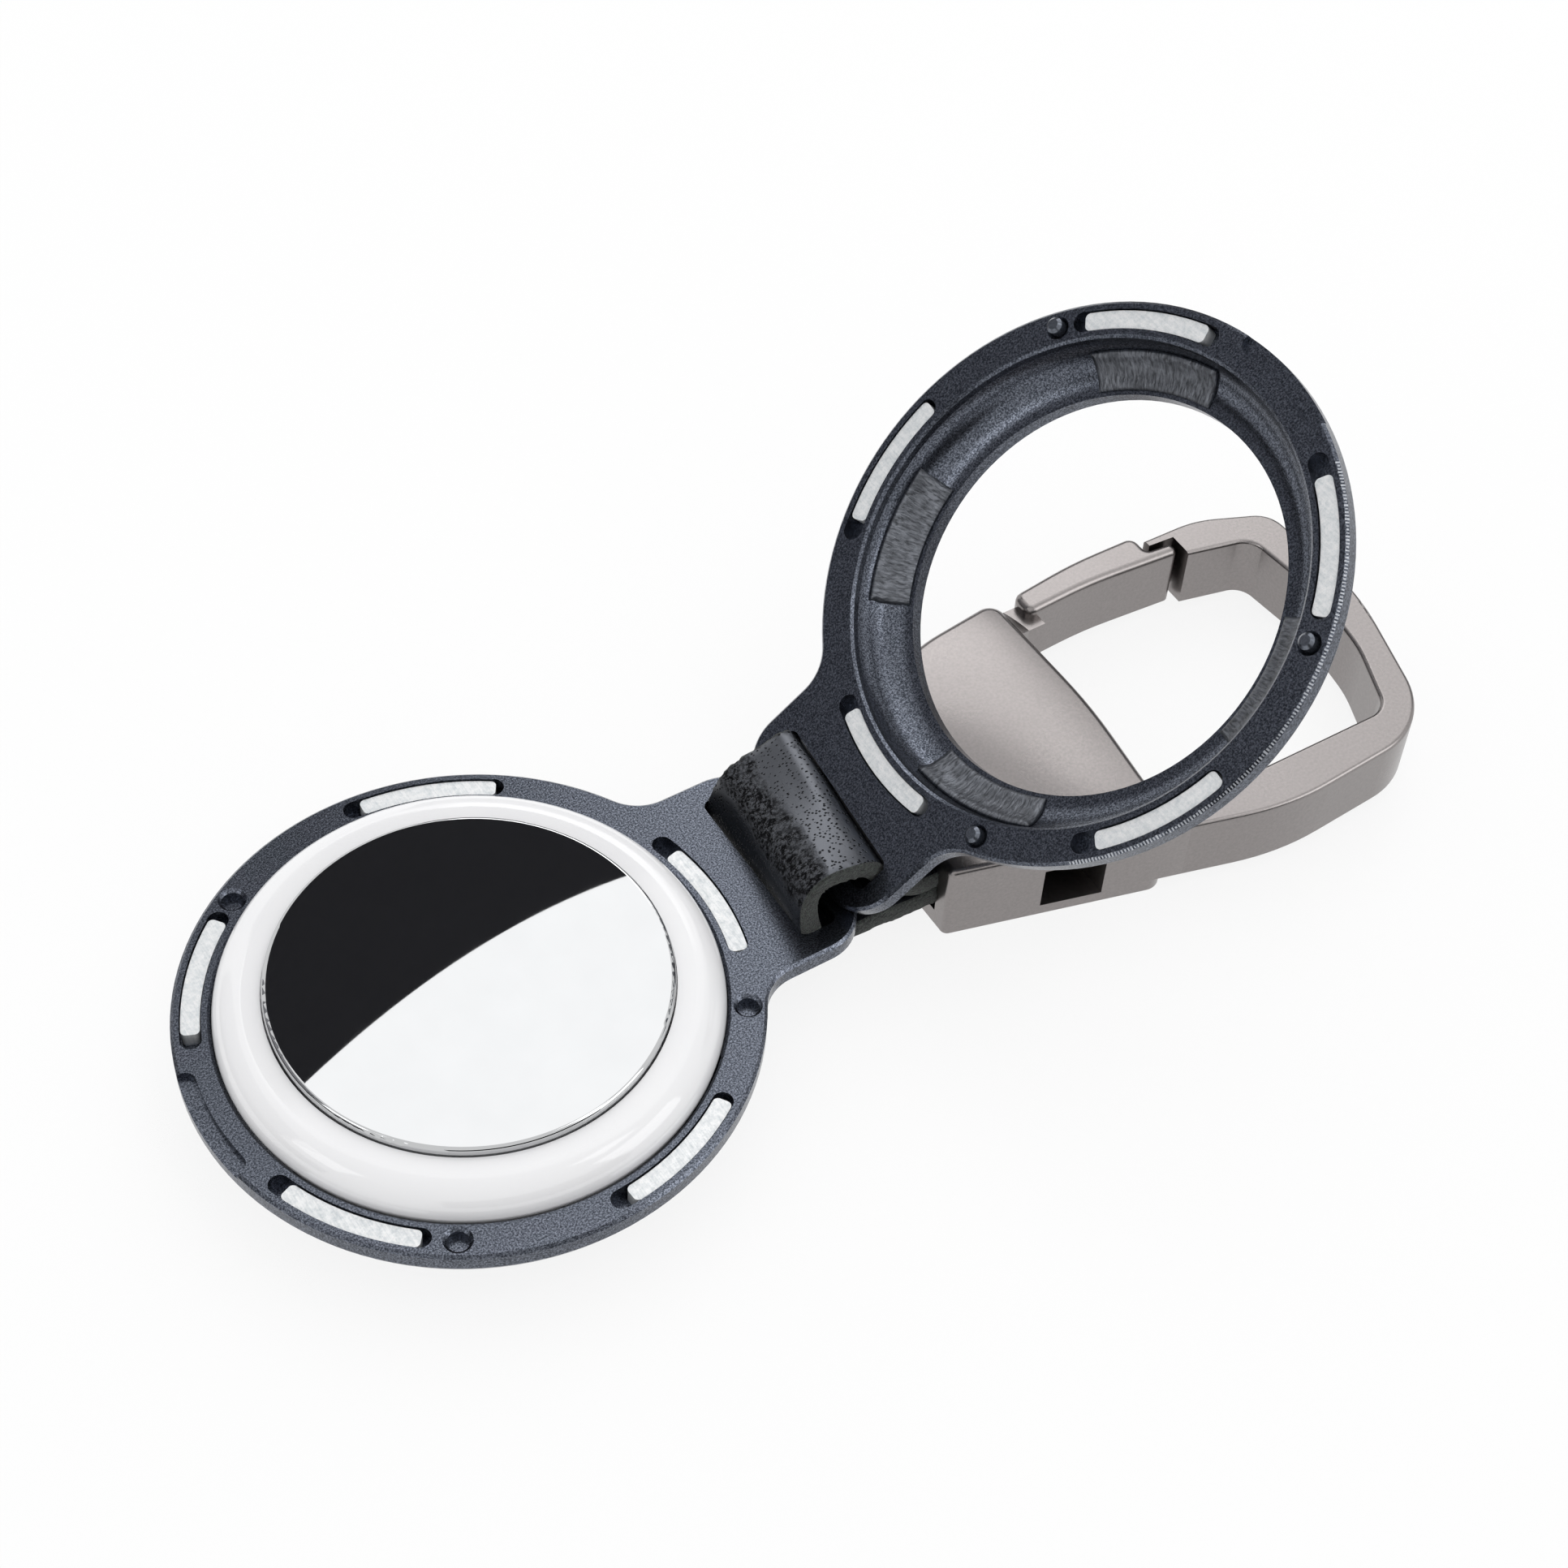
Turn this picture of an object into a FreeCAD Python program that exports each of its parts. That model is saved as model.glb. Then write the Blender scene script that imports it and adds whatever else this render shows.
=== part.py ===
"""Holder for a round tracker tag: two hinged metal rings on a leather loop, hung from a snap hook.

Frame: millimetres, +Z up. The origin is the centre of the base ring on its inner face, and +X points
along the tab towards the snap hook. The cover ring is drawn lying on the base, face down, and is then
turned open about the leather hinge, as the holder lies when a tag is put in.
"""
import FreeCAD, Part
import math
import os
from FreeCAD import Placement, Rotation, Vector

doc = FreeCAD.newDocument("tag_holder")

# Driving dimensions, in millimetres and degrees
SIZES = [
    ("tag_diameter", 31.9, "widest part of the tag"),
    ("tag_thickness", 8.0, "dome to steel cap"),
    ("tag_rise", 2.6, "steel cap above the widest line"),
    ("tag_edge_radius", 2.2, "rounding from the dome to the widest line"),
    ("tag_shoulder", 1.95, "height of the white shoulder round the cap"),
    ("cap_diameter", 25.5, "steel cap"),
    ("cap_wall", 0.55, "steel cap sheet"),
    ("cap_skirt", 1.0, "cap skirt below the shoulder"),
    ("cap_edge_radius", 0.3, "rounded rim of the cap"),
    ("cell_diameter", 20.0, "coin cell"),
    ("cell_height", 3.2, "coin cell"),
    ("board_thickness", 0.8, "circuit board under the cell"),
    ("inner_clearance", 0.08, "cap, cell and board in the shell"),
    ("seat_clearance", 0.1, "tag in the ring, radial"),
    ("land_width", 2.45, "flat inner face of a ring"),
    ("plate_thickness", 1.2, "tab and ring wall"),
    ("ring_depth", 4.15, "inner face to the back of a ring"),
    ("lip_width", 2.75, "seat edge to the window, radial"),
    ("lip_thickness", 1.03, "window lip"),
    ("seat_wall", 0.25, "straight wall at the seat's mouth"),
    ("mouth_bevel", 0.18, "bevel along the seat's mouth"),
    ("seat_bulge", 0.9, "hollow of the seat below its chord"),
    ("back_land", 0.9, "flat ring round the window, at the back"),
    ("back_bulge", 0.75, "crown of the back above its chord"),
    ("edge_chamfer", 0.2, "bevel along the rim"),
    ("magnet_count", 5, "magnets in each ring"),
    ("magnet_span", 29.6, "length of a magnet, degrees"),
    ("magnet_width", 1.2, "radial width of a magnet"),
    ("magnet_height", 1.05, "thickness of a magnet"),
    ("magnet_flat", 0.5, "flat part of a magnet's end, between its rounded corners"),
    ("pocket_play", 6.0, "free length in a magnet pocket, degrees"),
    ("pocket_clearance", 0.08, "each side of a magnet"),
    ("pocket_recess", 0.15, "magnet below the face"),
    ("pin_diameter", 1.1, "locating pin"),
    ("pin_height", 0.7, "pin above the face"),
    ("pin_seat", 0.9, "pin in the cover"),
    ("pin_chamfer", 0.2, "pin tip"),
    ("pin_clearance", 0.15, "pin in the base hole, radial"),
    ("press_clearance", 0.01, "pressed pins, radial"),
    ("countersink", 0.22, "bevel of the pin holes"),
    ("notch_span", 26.0, "thumb notch, degrees"),
    ("notch_reach", 1.05, "thumb notch, radial"),
    ("notch_round", 0.7, "corners of the thumb notch"),
    ("notch_depth", 0.5, "thumb notch below the face"),
    ("pad_thickness", 0.35, "leather pads on the seat"),
    ("pad_span", 35.0, "length of a pad, degrees"),
    ("glue_gap", 0.02, "glue line under a pad"),
    ("tab_width", 16.0, "hinge tab"),
    ("tab_fillet", 3.2, "tab to ring"),
    ("tab_corner", 3.3, "tab corners"),
    ("slot_offset", 2.1, "ring to the strap slot"),
    ("slot_width", 2.6, "strap slot along the tab"),
    ("slot_corner", 0.6, "strap slot corners"),
    ("bar_width", 1.85, "end bar beyond the slot"),
    ("closed_gap", 0.28, "between the closed faces"),
    ("open_angle", 138.8, "cover angle in the photographed pose"),
    ("hinge_skew", 2.35, "sideways lean of the leather hinge, degrees"),
    ("strap_width", 12.0, "leather strap"),
    ("strap_thickness", 1.5, "leather strap"),
    ("strap_side_gap", 0.3, "strap to each end of a slot"),
    ("strap_gap", 0.15, "strap to the bars"),
    ("strap_crown", 4.1, "middle of the strap over the bars"),
    ("strap_reach", 6.0, "tab end to the snap hook"),
    ("block_height", 6.35, "snap hook block"),
    ("block_length", 16.5, "snap hook block"),
    ("block_end_width", 15.1, "block at the strap"),
    ("block_wide", 23.5, "block at the loop"),
    ("block_round", 0.45, "rounded top of the block"),
    ("loop_height", 5.0, "loop bar"),
    ("loop_lift", 1.0, "loop above the block's underside"),
    ("loop_length", 22.9, "block to the loop's far end"),
    ("loop_spine", 13.9, "middle to the spine's outer side"),
    ("loop_nose", 10.75, "middle to the nose's outer side"),
    ("spine_width", 3.55, "bar at the spine"),
    ("bar_thickness", 2.5, "bar at the far end and the hook"),
    ("loop_round", 0.3, "rounded top edges of the loop"),
    ("mouth_depth", 5.6, "strap slot in the block"),
    ("mouth_height", 3.85, "strap slot in the block"),
    ("window_length", 4.2, "side window of the block"),
    ("window_height", 3.6, "side window of the block"),
    ("window_depth", 12.0, "side window, into the block"),
    ("window_start", 6.45, "strap end to the side window"),
    ("strap_pin_diameter", 2.0, "pin through the strap ends"),
    ("strap_pin_inset", 3.0, "strap end to the pin"),
    ("gate_width", 2.4, "gate bar"),
    ("gate_gap", 0.4, "gate to the nose"),
    ("gate_lap", 1.6, "overlap of gate tip and nose"),
    ("gate_round", 0.5, "rounded top edges of the gate"),
    ("tongue_height", 3.8, "gate tongue in the block"),
    ("tongue_clearance", 0.1, "tongue in its slot"),
    ("gate_pin_diameter", 1.5, "gate pivot"),
    ("gate_pin_inset", 2.45, "pivot to the block's inner edge"),
    ("pivot_clearance", 0.05, "gate on its pivot, radial"),
    ("pin_blind", 0.45, "blind end of the two block pins"),
    ("lug_drop", 2.2, "pivot to the end of the gate's lug"),
    ("lug_width", 1.0, "gate's lug for the spring"),
    ("spring_diameter", 1.9, "gate spring, outside"),
    ("spring_wire", 0.3, "gate spring"),
    ("spring_length", 5.9, "gate spring, gate shut"),
    ("spring_turns", 5, "gate spring"),
    ("spring_clearance", 0.15, "gate spring in its bore, radial"),
]
# For each pin, the magnet pocket beside it, on which side of it, and the land between, degrees
PIN_LANDS = ((2, -1, 3.8), (0, -1, 13.9), (3, 1, 5.1))
PAD_ANGLES = (23.0, 111.0, -145.0, -59.0)
# Where each magnet lies in its pocket, as a share of the play to either side
BASE_MAGNET_SHIFTS = (-0.76, -0.4, -0.3, 0.3, 0.5)
COVER_MAGNET_SHIFTS = (0.25, 0.76, -0.76, 0.15, -0.6)

sheet = doc.addObject("Spreadsheet::Sheet", "Sizes")
for row, (alias, value, note) in enumerate(SIZES, start=1):
    sheet.set(f"A{row}", note)
    sheet.set(f"B{row}", str(value))
    sheet.setAlias(f"B{row}", alias)
doc.recompute()


def size(alias):
    """A driving dimension as a plain number."""
    return float(sheet.get(alias))


def bind(obj, prop, expression):
    """Ties a property to the sheet; words in the expression that are sizes get the sheet's name."""
    for alias, _, _ in SIZES:
        expression = expression.replace("<" + alias + ">", "Sizes." + alias)
    obj.setExpression(prop, expression)


# Sizes that follow from the driving ones
tag_radius = size("tag_diameter") / 2
seat_radius = tag_radius + size("seat_clearance")
ring_radius = seat_radius + size("land_width")
land_mid = seat_radius + size("land_width") / 2
pin_circle = land_mid + (size("mouth_bevel") - size("edge_chamfer")) / 2
pocket_span = size("magnet_span") + size("pocket_play")
pin_angles = [360 / size("magnet_count") * beside + side * (pocket_span / 2 + land)
              for beside, side, land in PIN_LANDS]
lip_radius = seat_radius - size("lip_width")
plate = size("plate_thickness")
depth = size("ring_depth")
slot_start = ring_radius + size("slot_offset")
slot_end = slot_start + size("slot_width")
tab_end = slot_end + size("bar_width")
hinge_x = tab_end - plate / 2
hinge_z = size("closed_gap") + plate / 2
rest_z = size("tag_rise") - size("tag_thickness")
block_x = tab_end + size("strap_reach")
block_top = rest_z + size("block_height")
loop_bottom = rest_z + size("loop_lift")
mouth_mid = rest_z + size("block_height") / 2

PLACED = []


def origin_plane(body, role):
    return next(f for f in body.Origin.OriginFeatures if f.Role == role)


def new_body(label):
    body = doc.addObject("PartDesign::Body", label)
    body.Label = label
    PLACED.append(body)
    return body


def sketch(body, name, role, edges, offset=None):
    """A sketch on one of the body's own planes, raised by an expression where it has an offset."""
    drawing = body.newObject("Sketcher::SketchObject", name)
    drawing.AttachmentSupport = [(origin_plane(body, role), "")]
    drawing.MapMode = "FlatFace"
    if offset is not None:
        bind(drawing, "AttachmentOffset.Base.z", offset)
    drawing.addGeometry(list(edges), False)
    return drawing


def feature(body, kind, name, profile, **settings):
    made = body.newObject("PartDesign::" + kind, name)
    made.Profile = profile
    for prop, value in settings.items():
        if isinstance(value, str) and "<" in value:
            bind(made, prop, value)
        else:
            setattr(made, prop, value)
    doc.recompute()
    return made


def cut(body, name, profile, **settings):
    """A pocket that has to take something away."""
    before = body.Shape.Volume
    made = feature(body, "Pocket", name, profile, **settings)
    if body.Shape.Volume > before - 1e-6:
        raise ValueError(f"{body.Label}: {name} cuts nothing")
    return made


def revolve(body, name, profile, **settings):
    return feature(body, "Revolution", name, profile, ReferenceAxis=(profile, ["V_Axis"]), **settings)


def dress(body, kind, name, edges, **settings):
    """A fillet or chamfer on the body's edges that the test picks out."""
    base = body.Tip
    names = [f"Edge{i}" for i, edge in enumerate(base.Shape.Edges, start=1) if edges(edge)]
    made = body.newObject("PartDesign::" + kind, name)
    made.Base = (base, names)
    for prop, value in settings.items():
        bind(made, prop, value)
    doc.recompute()
    return made


def lies_at(edge, z):
    """True for an edge that lies in the level plane z."""
    return all(abs(v.Point.z - z) < 1e-6 for v in edge.Vertexes) and abs(edge.CenterOfMass.z - z) < 1e-6


def flat(point):
    return Vector(point[0], point[1], 0)


def line(a, b):
    return Part.LineSegment(flat(a), flat(b))


def arc(a, through, b):
    return Part.Arc(flat(a), flat(through), flat(b))


def circle(x, y, radius):
    return Part.Circle(Vector(x, y, 0), Vector(0, 0, 1), radius)


def polar(radius, degrees):
    return (radius * math.cos(math.radians(degrees)), radius * math.sin(math.radians(degrees)))


def bulged(a, b, bulge):
    """The point that stands off the middle of a chord, to the right of the way from a to b."""
    dx, dy = b[0] - a[0], b[1] - a[1]
    span = math.hypot(dx, dy)
    return ((a[0] + b[0]) / 2 + dy / span * bulge, (a[1] + b[1]) / 2 - dx / span * bulge)


def bend(before, corner, after, radius):
    """Start, end and centre of the arc that rounds a corner, with the side it turns to."""
    ax, ay = corner[0] - before[0], corner[1] - before[1]
    bx, by = after[0] - corner[0], after[1] - corner[1]
    la, lb = math.hypot(ax, ay), math.hypot(bx, by)
    ax, ay, bx, by = ax / la, ay / la, bx / lb, by / lb
    turn = math.atan2(ax * by - ay * bx, ax * bx + ay * by)
    reach = radius * math.tan(abs(turn) / 2)
    start = (corner[0] - ax * reach, corner[1] - ay * reach)
    end = (corner[0] + bx * reach, corner[1] + by * reach)
    side = math.copysign(1.0, turn)
    centre = (start[0] - side * ay * radius, start[1] + side * ax * radius)
    return start, end, centre, side


def on_bend(corner, centre, radius):
    """The middle of a rounded corner."""
    dx, dy = corner[0] - centre[0], corner[1] - centre[1]
    span = math.hypot(dx, dy)
    return (centre[0] + dx / span * radius, centre[1] + dy / span * radius)


def outline(points):
    """A closed outline of lines and tangent arcs through corners (x, y, radius); 0 keeps one sharp."""
    edges = []
    count = len(points)
    joints = []
    for i, (x, y, radius) in enumerate(points):
        if radius == 0:
            joints.append(((x, y), (x, y)))
            continue
        start, end, centre, _ = bend(points[i - 1][:2], (x, y), points[(i + 1) % count][:2], radius)
        joints.append((start, end))
        edges.append(arc(start, on_bend((x, y), centre, radius), end))
    for i in range(count):
        edges.append(line(joints[i][1], joints[(i + 1) % count][0]))
    return edges


def ribbon(route, thickness):
    """The closed edge-on outline of a strap along corners (x, z, radius)."""
    sides = {1: [], -1: []}
    last = route[0][:2]
    for side in sides:
        before = last
        for i in range(1, len(route) - 1):
            x, z, radius = route[i]
            start, end, centre, turn = bend(route[i - 1][:2], (x, z), route[i + 1][:2], radius)
            off = radius - turn * side * thickness / 2
            ends = [on_bend(p, centre, off) for p in (start, end)]
            sides[side].append((ends[0], on_bend((x, z), centre, off), ends[1]))
    edges = []
    caps = []
    for index, other in ((0, 1), (-1, -2)):
        x, z = route[index][:2]
        dx, dz = route[other][0] - x, route[other][1] - z
        span = math.hypot(dx, dz) * (1 if index == 0 else -1)
        caps.append({s: (x - s * dz / span * thickness / 2, z + s * dx / span * thickness / 2) for s in sides})
    for side, bends in sides.items():
        here = caps[0][side]
        for start, middle, end in bends:
            edges.append(line(here, start))
            edges.append(arc(start, middle, end))
            here = end
        edges.append(line(here, caps[1][side]))
    edges.append(line(caps[0][1], caps[0][-1]))
    edges.append(line(caps[1][1], caps[1][-1]))
    return edges


# Seat profile shared by the rings and the pads on it, as radius and height
seat_top = (seat_radius, -size("seat_wall"))
seat_foot = (lip_radius, size("lip_thickness") - depth)
seat_middle = bulged(seat_foot, seat_top, size("seat_bulge"))
seat_round = Part.Circle(flat(seat_top), flat(seat_middle), flat(seat_foot))


def plate_outline():
    """Ring and tab seen from above, with the seat's mouth as a hole."""
    half, fillet = size("tab_width") / 2, size("tab_fillet")
    corner = size("tab_corner")
    reach = math.sqrt((ring_radius + fillet) ** 2 - (half + fillet) ** 2)
    leave = math.degrees(math.atan2(half + fillet, reach))
    edges = [circle(0, 0, seat_radius)]
    edges.append(arc(polar(ring_radius, leave), (-ring_radius, 0), polar(ring_radius, -leave)))
    for side in (1, -1):
        centre = (reach, side * (half + fillet))
        ring_point = polar(ring_radius, side * leave)
        tab_point = (reach, side * half)
        middle = ((ring_point[0] + tab_point[0]) / 2, (ring_point[1] + tab_point[1]) / 2)
        edges.append(arc(ring_point, on_bend(middle, centre, fillet), tab_point))
        edges.append(line(tab_point, (tab_end - corner, side * half)))
        turn = (tab_end - corner, side * (half - corner))
        edges.append(arc((tab_end - corner, side * half), on_bend((tab_end, side * half), turn, corner),
                         (tab_end, side * (half - corner))))
    edges.append(line((tab_end, half - corner), (tab_end, corner - half)))
    return edges


def arc_slot(radius, width, span):
    """A round-ended slot along a circle, centred on the X axis, its whole length given in degrees."""
    tip = span / 2 - math.degrees(math.asin(width / 2 / radius))
    inner, outer = radius - width / 2, radius + width / 2
    edges = [arc(polar(r, -tip), (r, 0), polar(r, tip)) for r in (inner, outer)]
    for side in (1, -1):
        edges.append(arc(polar(inner, side * tip), polar(radius, side * span / 2), polar(outer, side * tip)))
    return edges


def make_ring(label, fit, pin_depth, pin_side):
    """One ring with its tab, seen with its inner face up; pin_side mirrors the pin places."""
    body = new_body(label)
    drawing = sketch(body, label + "_plan", "XY_Plane", plate_outline())
    feature(body, "Pad", label + "_plate", drawing, Length="<plate_thickness>", Reversed=True)
    dress(body, "Chamfer", label + "_bevel",
          lambda e: lies_at(e, 0) and e.BoundBox.XMax > seat_radius + 1e-3 and e.Length > 1e-3,
          Size="<edge_chamfer>")

    back_start = (lip_radius + size("back_land"), -depth)
    back_end = (ring_radius, -plate)
    inside = (land_mid, -plate / 2)
    section = [
        arc(seat_top, seat_middle, seat_foot),
        line(seat_foot, (lip_radius, -depth)),
        line((lip_radius, -depth), back_start),
        arc(back_start, bulged(back_start, back_end, size("back_bulge")), back_end),
        line(back_end, inside),
        line(inside, seat_top),
    ]
    revolve(body, label + "_seat", sketch(body, label + "_section", "XZ_Plane", section), Angle=360)
    dress(body, "Chamfer", label + "_mouth",
          lambda e: lies_at(e, 0) and abs(getattr(e.Curve, "Radius", 0) - seat_radius) < 1e-6,
          Size="<mouth_bevel>")

    half_slot = size("strap_width") / 2 + size("strap_side_gap")
    corner = size("slot_corner")
    slot = outline([(slot_start, -half_slot, corner), (slot_end, -half_slot, corner),
                    (slot_end, half_slot, corner), (slot_start, half_slot, corner)])
    cut(body, label + "_slot", sketch(body, label + "_slot_plan", "XY_Plane", slot), Type="ThroughAll")

    margin = plate / 2
    rounding = [
        line((hinge_x, margin), (tab_end + margin, margin)),
        line((tab_end + margin, margin), (tab_end + margin, -plate - margin)),
        line((tab_end + margin, -plate - margin), (hinge_x, -plate - margin)),
        line((hinge_x, -plate - margin), (hinge_x, -plate)),
        arc((hinge_x, -plate), (tab_end, -plate / 2), (hinge_x, 0)),
        line((hinge_x, 0), (hinge_x, margin)),
    ]
    cut(body, label + "_bar_round", sketch(body, label + "_bar_end", "XZ_Plane", rounding),
        Midplane=True, Length="2 * <tab_width>")

    spread = size("notch_span") / 2
    wall = ring_radius - size("notch_reach")
    past = ring_radius + size("notch_reach")
    corner = size("notch_round")
    lead = math.degrees(math.asin(corner / (wall + corner)))
    notch = [arc(polar(wall, 180 - spread + lead), (-wall, 0), polar(wall, 180 + spread - lead)),
             arc(polar(past, 180 - spread), (-past, 0), polar(past, 180 + spread))]
    for side in (-1, 1):
        end = 180 + side * spread
        foot, middle = polar(wall, end - side * lead), polar(wall + corner, end - side * lead)
        top = polar((wall + corner) * math.cos(math.radians(lead)), end)
        way = Vector(foot[0] + top[0] - 2 * middle[0], foot[1] + top[1] - 2 * middle[1], 0).normalize()
        turn = (middle[0] + corner * way.x, middle[1] + corner * way.y)
        notch += [arc(foot, turn, top), line(top, polar(past, end))]
    cut(body, label + "_notch", sketch(body, label + "_notch_plan", "XY_Plane", notch), Length="<notch_depth>")

    pocket = arc_slot(land_mid, size("magnet_width") + 2 * size("pocket_clearance"), pocket_span)
    pocket_plan = sketch(body, label + "_pocket_plan", "XY_Plane", pocket)
    magnet_pocket = cut(body, label + "_pocket", pocket_plan, Length="<magnet_height> + <pocket_recess>")
    pattern = body.newObject("PartDesign::PolarPattern", label + "_pockets")
    pattern.Originals = [magnet_pocket]
    pattern.Axis = (pocket_plan, ["N_Axis"])
    pattern.Angle = 360
    bind(pattern, "Occurrences", "<magnet_count>")
    body.Tip = pattern
    doc.recompute()

    pin_hole = size("pin_diameter") / 2 + size(fit)
    pin_wall = f"(<land_width> - <mouth_bevel> - <edge_chamfer> - <pin_diameter>) / 2 - <{fit}>"
    places = [polar(pin_circle, pin_side * angle) for angle in pin_angles]
    holes = [circle(x, y, pin_hole) for x, y in places]
    cut(body, label + "_pin_holes", sketch(body, label + "_pin_plan", "XY_Plane", holes), Length=pin_depth)
    dress(body, "Chamfer", label + "_countersinks",
          lambda e: lies_at(e, 0) and abs(e.Length - 2 * math.pi * pin_hole) < 1e-4,
          Size=f"min(<countersink>; 0.9 * ({pin_wall}))")
    return body


def turned(degrees):
    return Placement(Vector(), Rotation(Vector(0, 0, 1), degrees))


# The cover lies face down on the base when shut and is turned open about the leather hinge
skew = math.radians(size("hinge_skew"))
hinge_axis = Vector(math.sin(skew), math.cos(skew), 0)
hinge_point = Vector(hinge_x, 0, hinge_z)
shut = Placement(Vector(0, 0, size("closed_gap")), Rotation(Vector(1, 0, 0), 180))
opening = Placement(Vector(), Rotation(hinge_axis, size("open_angle")), hinge_point)
cover_pose = opening.multiply(shut)

base_ring = make_ring("base_ring", "pin_clearance", "<pin_height> + <pin_clearance>", 1)
cover_ring = make_ring("cover_ring", "press_clearance", "<pin_seat>", -1)
cover_ring.Placement = cover_pose


def make_magnet(label, pose):
    """A curved bar magnet with rounded corners, lying on its pocket's floor."""
    half = size("magnet_span") / 2
    inner, outer = land_mid - size("magnet_width") / 2, land_mid + size("magnet_width") / 2
    edges = [arc(polar(r, -half), (r, 0), polar(r, half)) for r in (inner, outer)]
    edges += [line(polar(inner, side * half), polar(outer, side * half)) for side in (1, -1)]
    body = new_body(label)
    drawing = sketch(body, label + "_plan", "XY_Plane", edges, "-<magnet_height> - <pocket_recess>")
    feature(body, "Pad", label + "_bar", drawing, Length="<magnet_height>")
    dress(body, "Fillet", label + "_corners", lambda e: e.BoundBox.ZLength > size("magnet_height") / 2,
          Radius="(<magnet_width> - <magnet_flat>) / 2")
    body.Placement = pose


def make_pad(label, pose):
    """A thin leather pad that follows the hollow of the seat."""
    centre = seat_round.Center
    radius = seat_round.Radius
    first = math.atan2(seat_top[1] - centre.y, seat_top[0] - centre.x)
    last = math.atan2(seat_foot[1] - centre.y, seat_foot[0] - centre.x)
    begin, end = first + (last - first) * 0.3, first + (last - first) * 0.94
    under = radius - size("glue_gap")
    over = under - size("pad_thickness")

    def at(r, angle):
        return (centre.x + r * math.cos(angle), centre.y + r * math.sin(angle))

    middle = (begin + end) / 2
    edges = [arc(at(under, begin), at(under, middle), at(under, end)), line(at(under, end), at(over, end)),
             arc(at(over, end), at(over, middle), at(over, begin)), line(at(over, begin), at(under, begin))]
    body = new_body(label)
    revolve(body, label + "_turn", sketch(body, label + "_section", "XZ_Plane", edges),
            Angle="<pad_span>", Midplane=True)
    body.Placement = pose


def make_pin(label, pose):
    """A locating dowel pressed into the cover, with a bevelled tip."""
    body = new_body(label)
    radius = size("pin_diameter") / 2
    drawing = sketch(body, label + "_plan", "XY_Plane", [circle(0, 0, radius)], "-<pin_seat>")
    feature(body, "Pad", label + "_shank", drawing, Length="<pin_seat> + <pin_height>")
    dress(body, "Chamfer", label + "_tip", lambda e: lies_at(e, size("pin_height")), Size="<pin_chamfer>")
    body.Placement = pose


step = 360 / size("magnet_count")
for ring, pose, shifts in (("base", Placement(), BASE_MAGNET_SHIFTS), ("cover", cover_pose, COVER_MAGNET_SHIFTS)):
    for i in range(int(size("magnet_count"))):
        shift = shifts[i % len(shifts)] * size("pocket_play") / 2
        make_magnet(f"{ring}_magnet_{i + 1}", pose.multiply(turned(i * step + shift)))
    for i, angle in enumerate(PAD_ANGLES, start=1):
        make_pad(f"{ring}_pad_{i}", pose.multiply(turned(angle)))
for i, angle in enumerate(pin_angles, start=1):
    x, y = polar(pin_circle, -angle)
    make_pin(f"cover_pin_{i}", cover_pose.multiply(Placement(Vector(x, y, 0), Rotation())))


def make_tag():
    """The white shell with its cell, board and twist-off steel cap."""
    edge, shoulder = size("tag_edge_radius"), size("tag_shoulder")
    dome_depth = size("tag_thickness") - size("tag_rise")
    edge_x = tag_radius - edge
    below = dome_depth - edge
    centre_z = (edge_x ** 2 - below ** 2) / (2 * below)
    dome_radius = centre_z + dome_depth
    share = dome_radius / (dome_radius - edge)
    meet = (edge_x * share, centre_z - centre_z * share)
    halfway = meet[0] / 2
    dome_middle = (halfway, centre_z - math.sqrt(dome_radius ** 2 - halfway ** 2))
    edge_middle = on_bend(((meet[0] + tag_radius) / 2, meet[1] / 2), (edge_x, 0), edge)
    top_inner = tag_radius - shoulder
    bevel = math.sqrt(0.5) * shoulder

    cap_radius = size("cap_diameter") / 2
    recess = cap_radius + size("inner_clearance")
    ledge = shoulder - size("cap_skirt")
    well = size("cell_diameter") / 2 + 2 * size("inner_clearance")
    floor = ledge - size("cell_height") - size("board_thickness") - size("inner_clearance")
    shell = new_body("tag_shell")
    profile = [
        arc((0, -dome_depth), dome_middle, meet),
        arc(meet, edge_middle, (tag_radius, 0)),
        arc((tag_radius, 0), (top_inner + bevel, bevel), (top_inner, shoulder)),
        line((top_inner, shoulder), (recess, shoulder)),
        line((recess, shoulder), (recess, ledge)),
        line((recess, ledge), (well, ledge)),
        line((well, ledge), (well, floor)),
        line((well, floor), (0, floor)),
        line((0, floor), (0, -dome_depth)),
    ]
    revolve(shell, "tag_shell_turn", sketch(shell, "tag_shell_section", "XZ_Plane", profile), Angle=360)

    rim, top = size("cap_edge_radius"), size("tag_rise")
    wall = size("cap_wall")
    bevel = rim * (1 - math.sqrt(0.5))
    cap = new_body("tag_cap")
    profile = [
        line((0, top), (cap_radius - rim, top)),
        arc((cap_radius - rim, top), (cap_radius - bevel, top - bevel), (cap_radius, top - rim)),
        line((cap_radius, top - rim), (cap_radius, ledge)),
        line((cap_radius, ledge), (cap_radius - wall, ledge)),
        line((cap_radius - wall, ledge), (cap_radius - wall, top - wall)),
        line((cap_radius - wall, top - wall), (0, top - wall)),
        line((0, top - wall), (0, top)),
    ]
    revolve(cap, "tag_cap_turn", sketch(cap, "tag_cap_section", "XZ_Plane", profile), Angle=360)

    for label, low, radius, height in (
            ("tag_board", floor, "<cell_diameter> / 2 + <inner_clearance>", "<board_thickness>"),
            ("coin_cell", floor + size("board_thickness"), "<cell_diameter> / 2", "<cell_height>")):
        disc = doc.addObject("Part::Cylinder", label)
        disc.Label = label
        bind(disc, "Radius", radius)
        bind(disc, "Height", height)
        disc.Placement = Placement(Vector(0, 0, low), Rotation())
        PLACED.append(disc)


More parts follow.
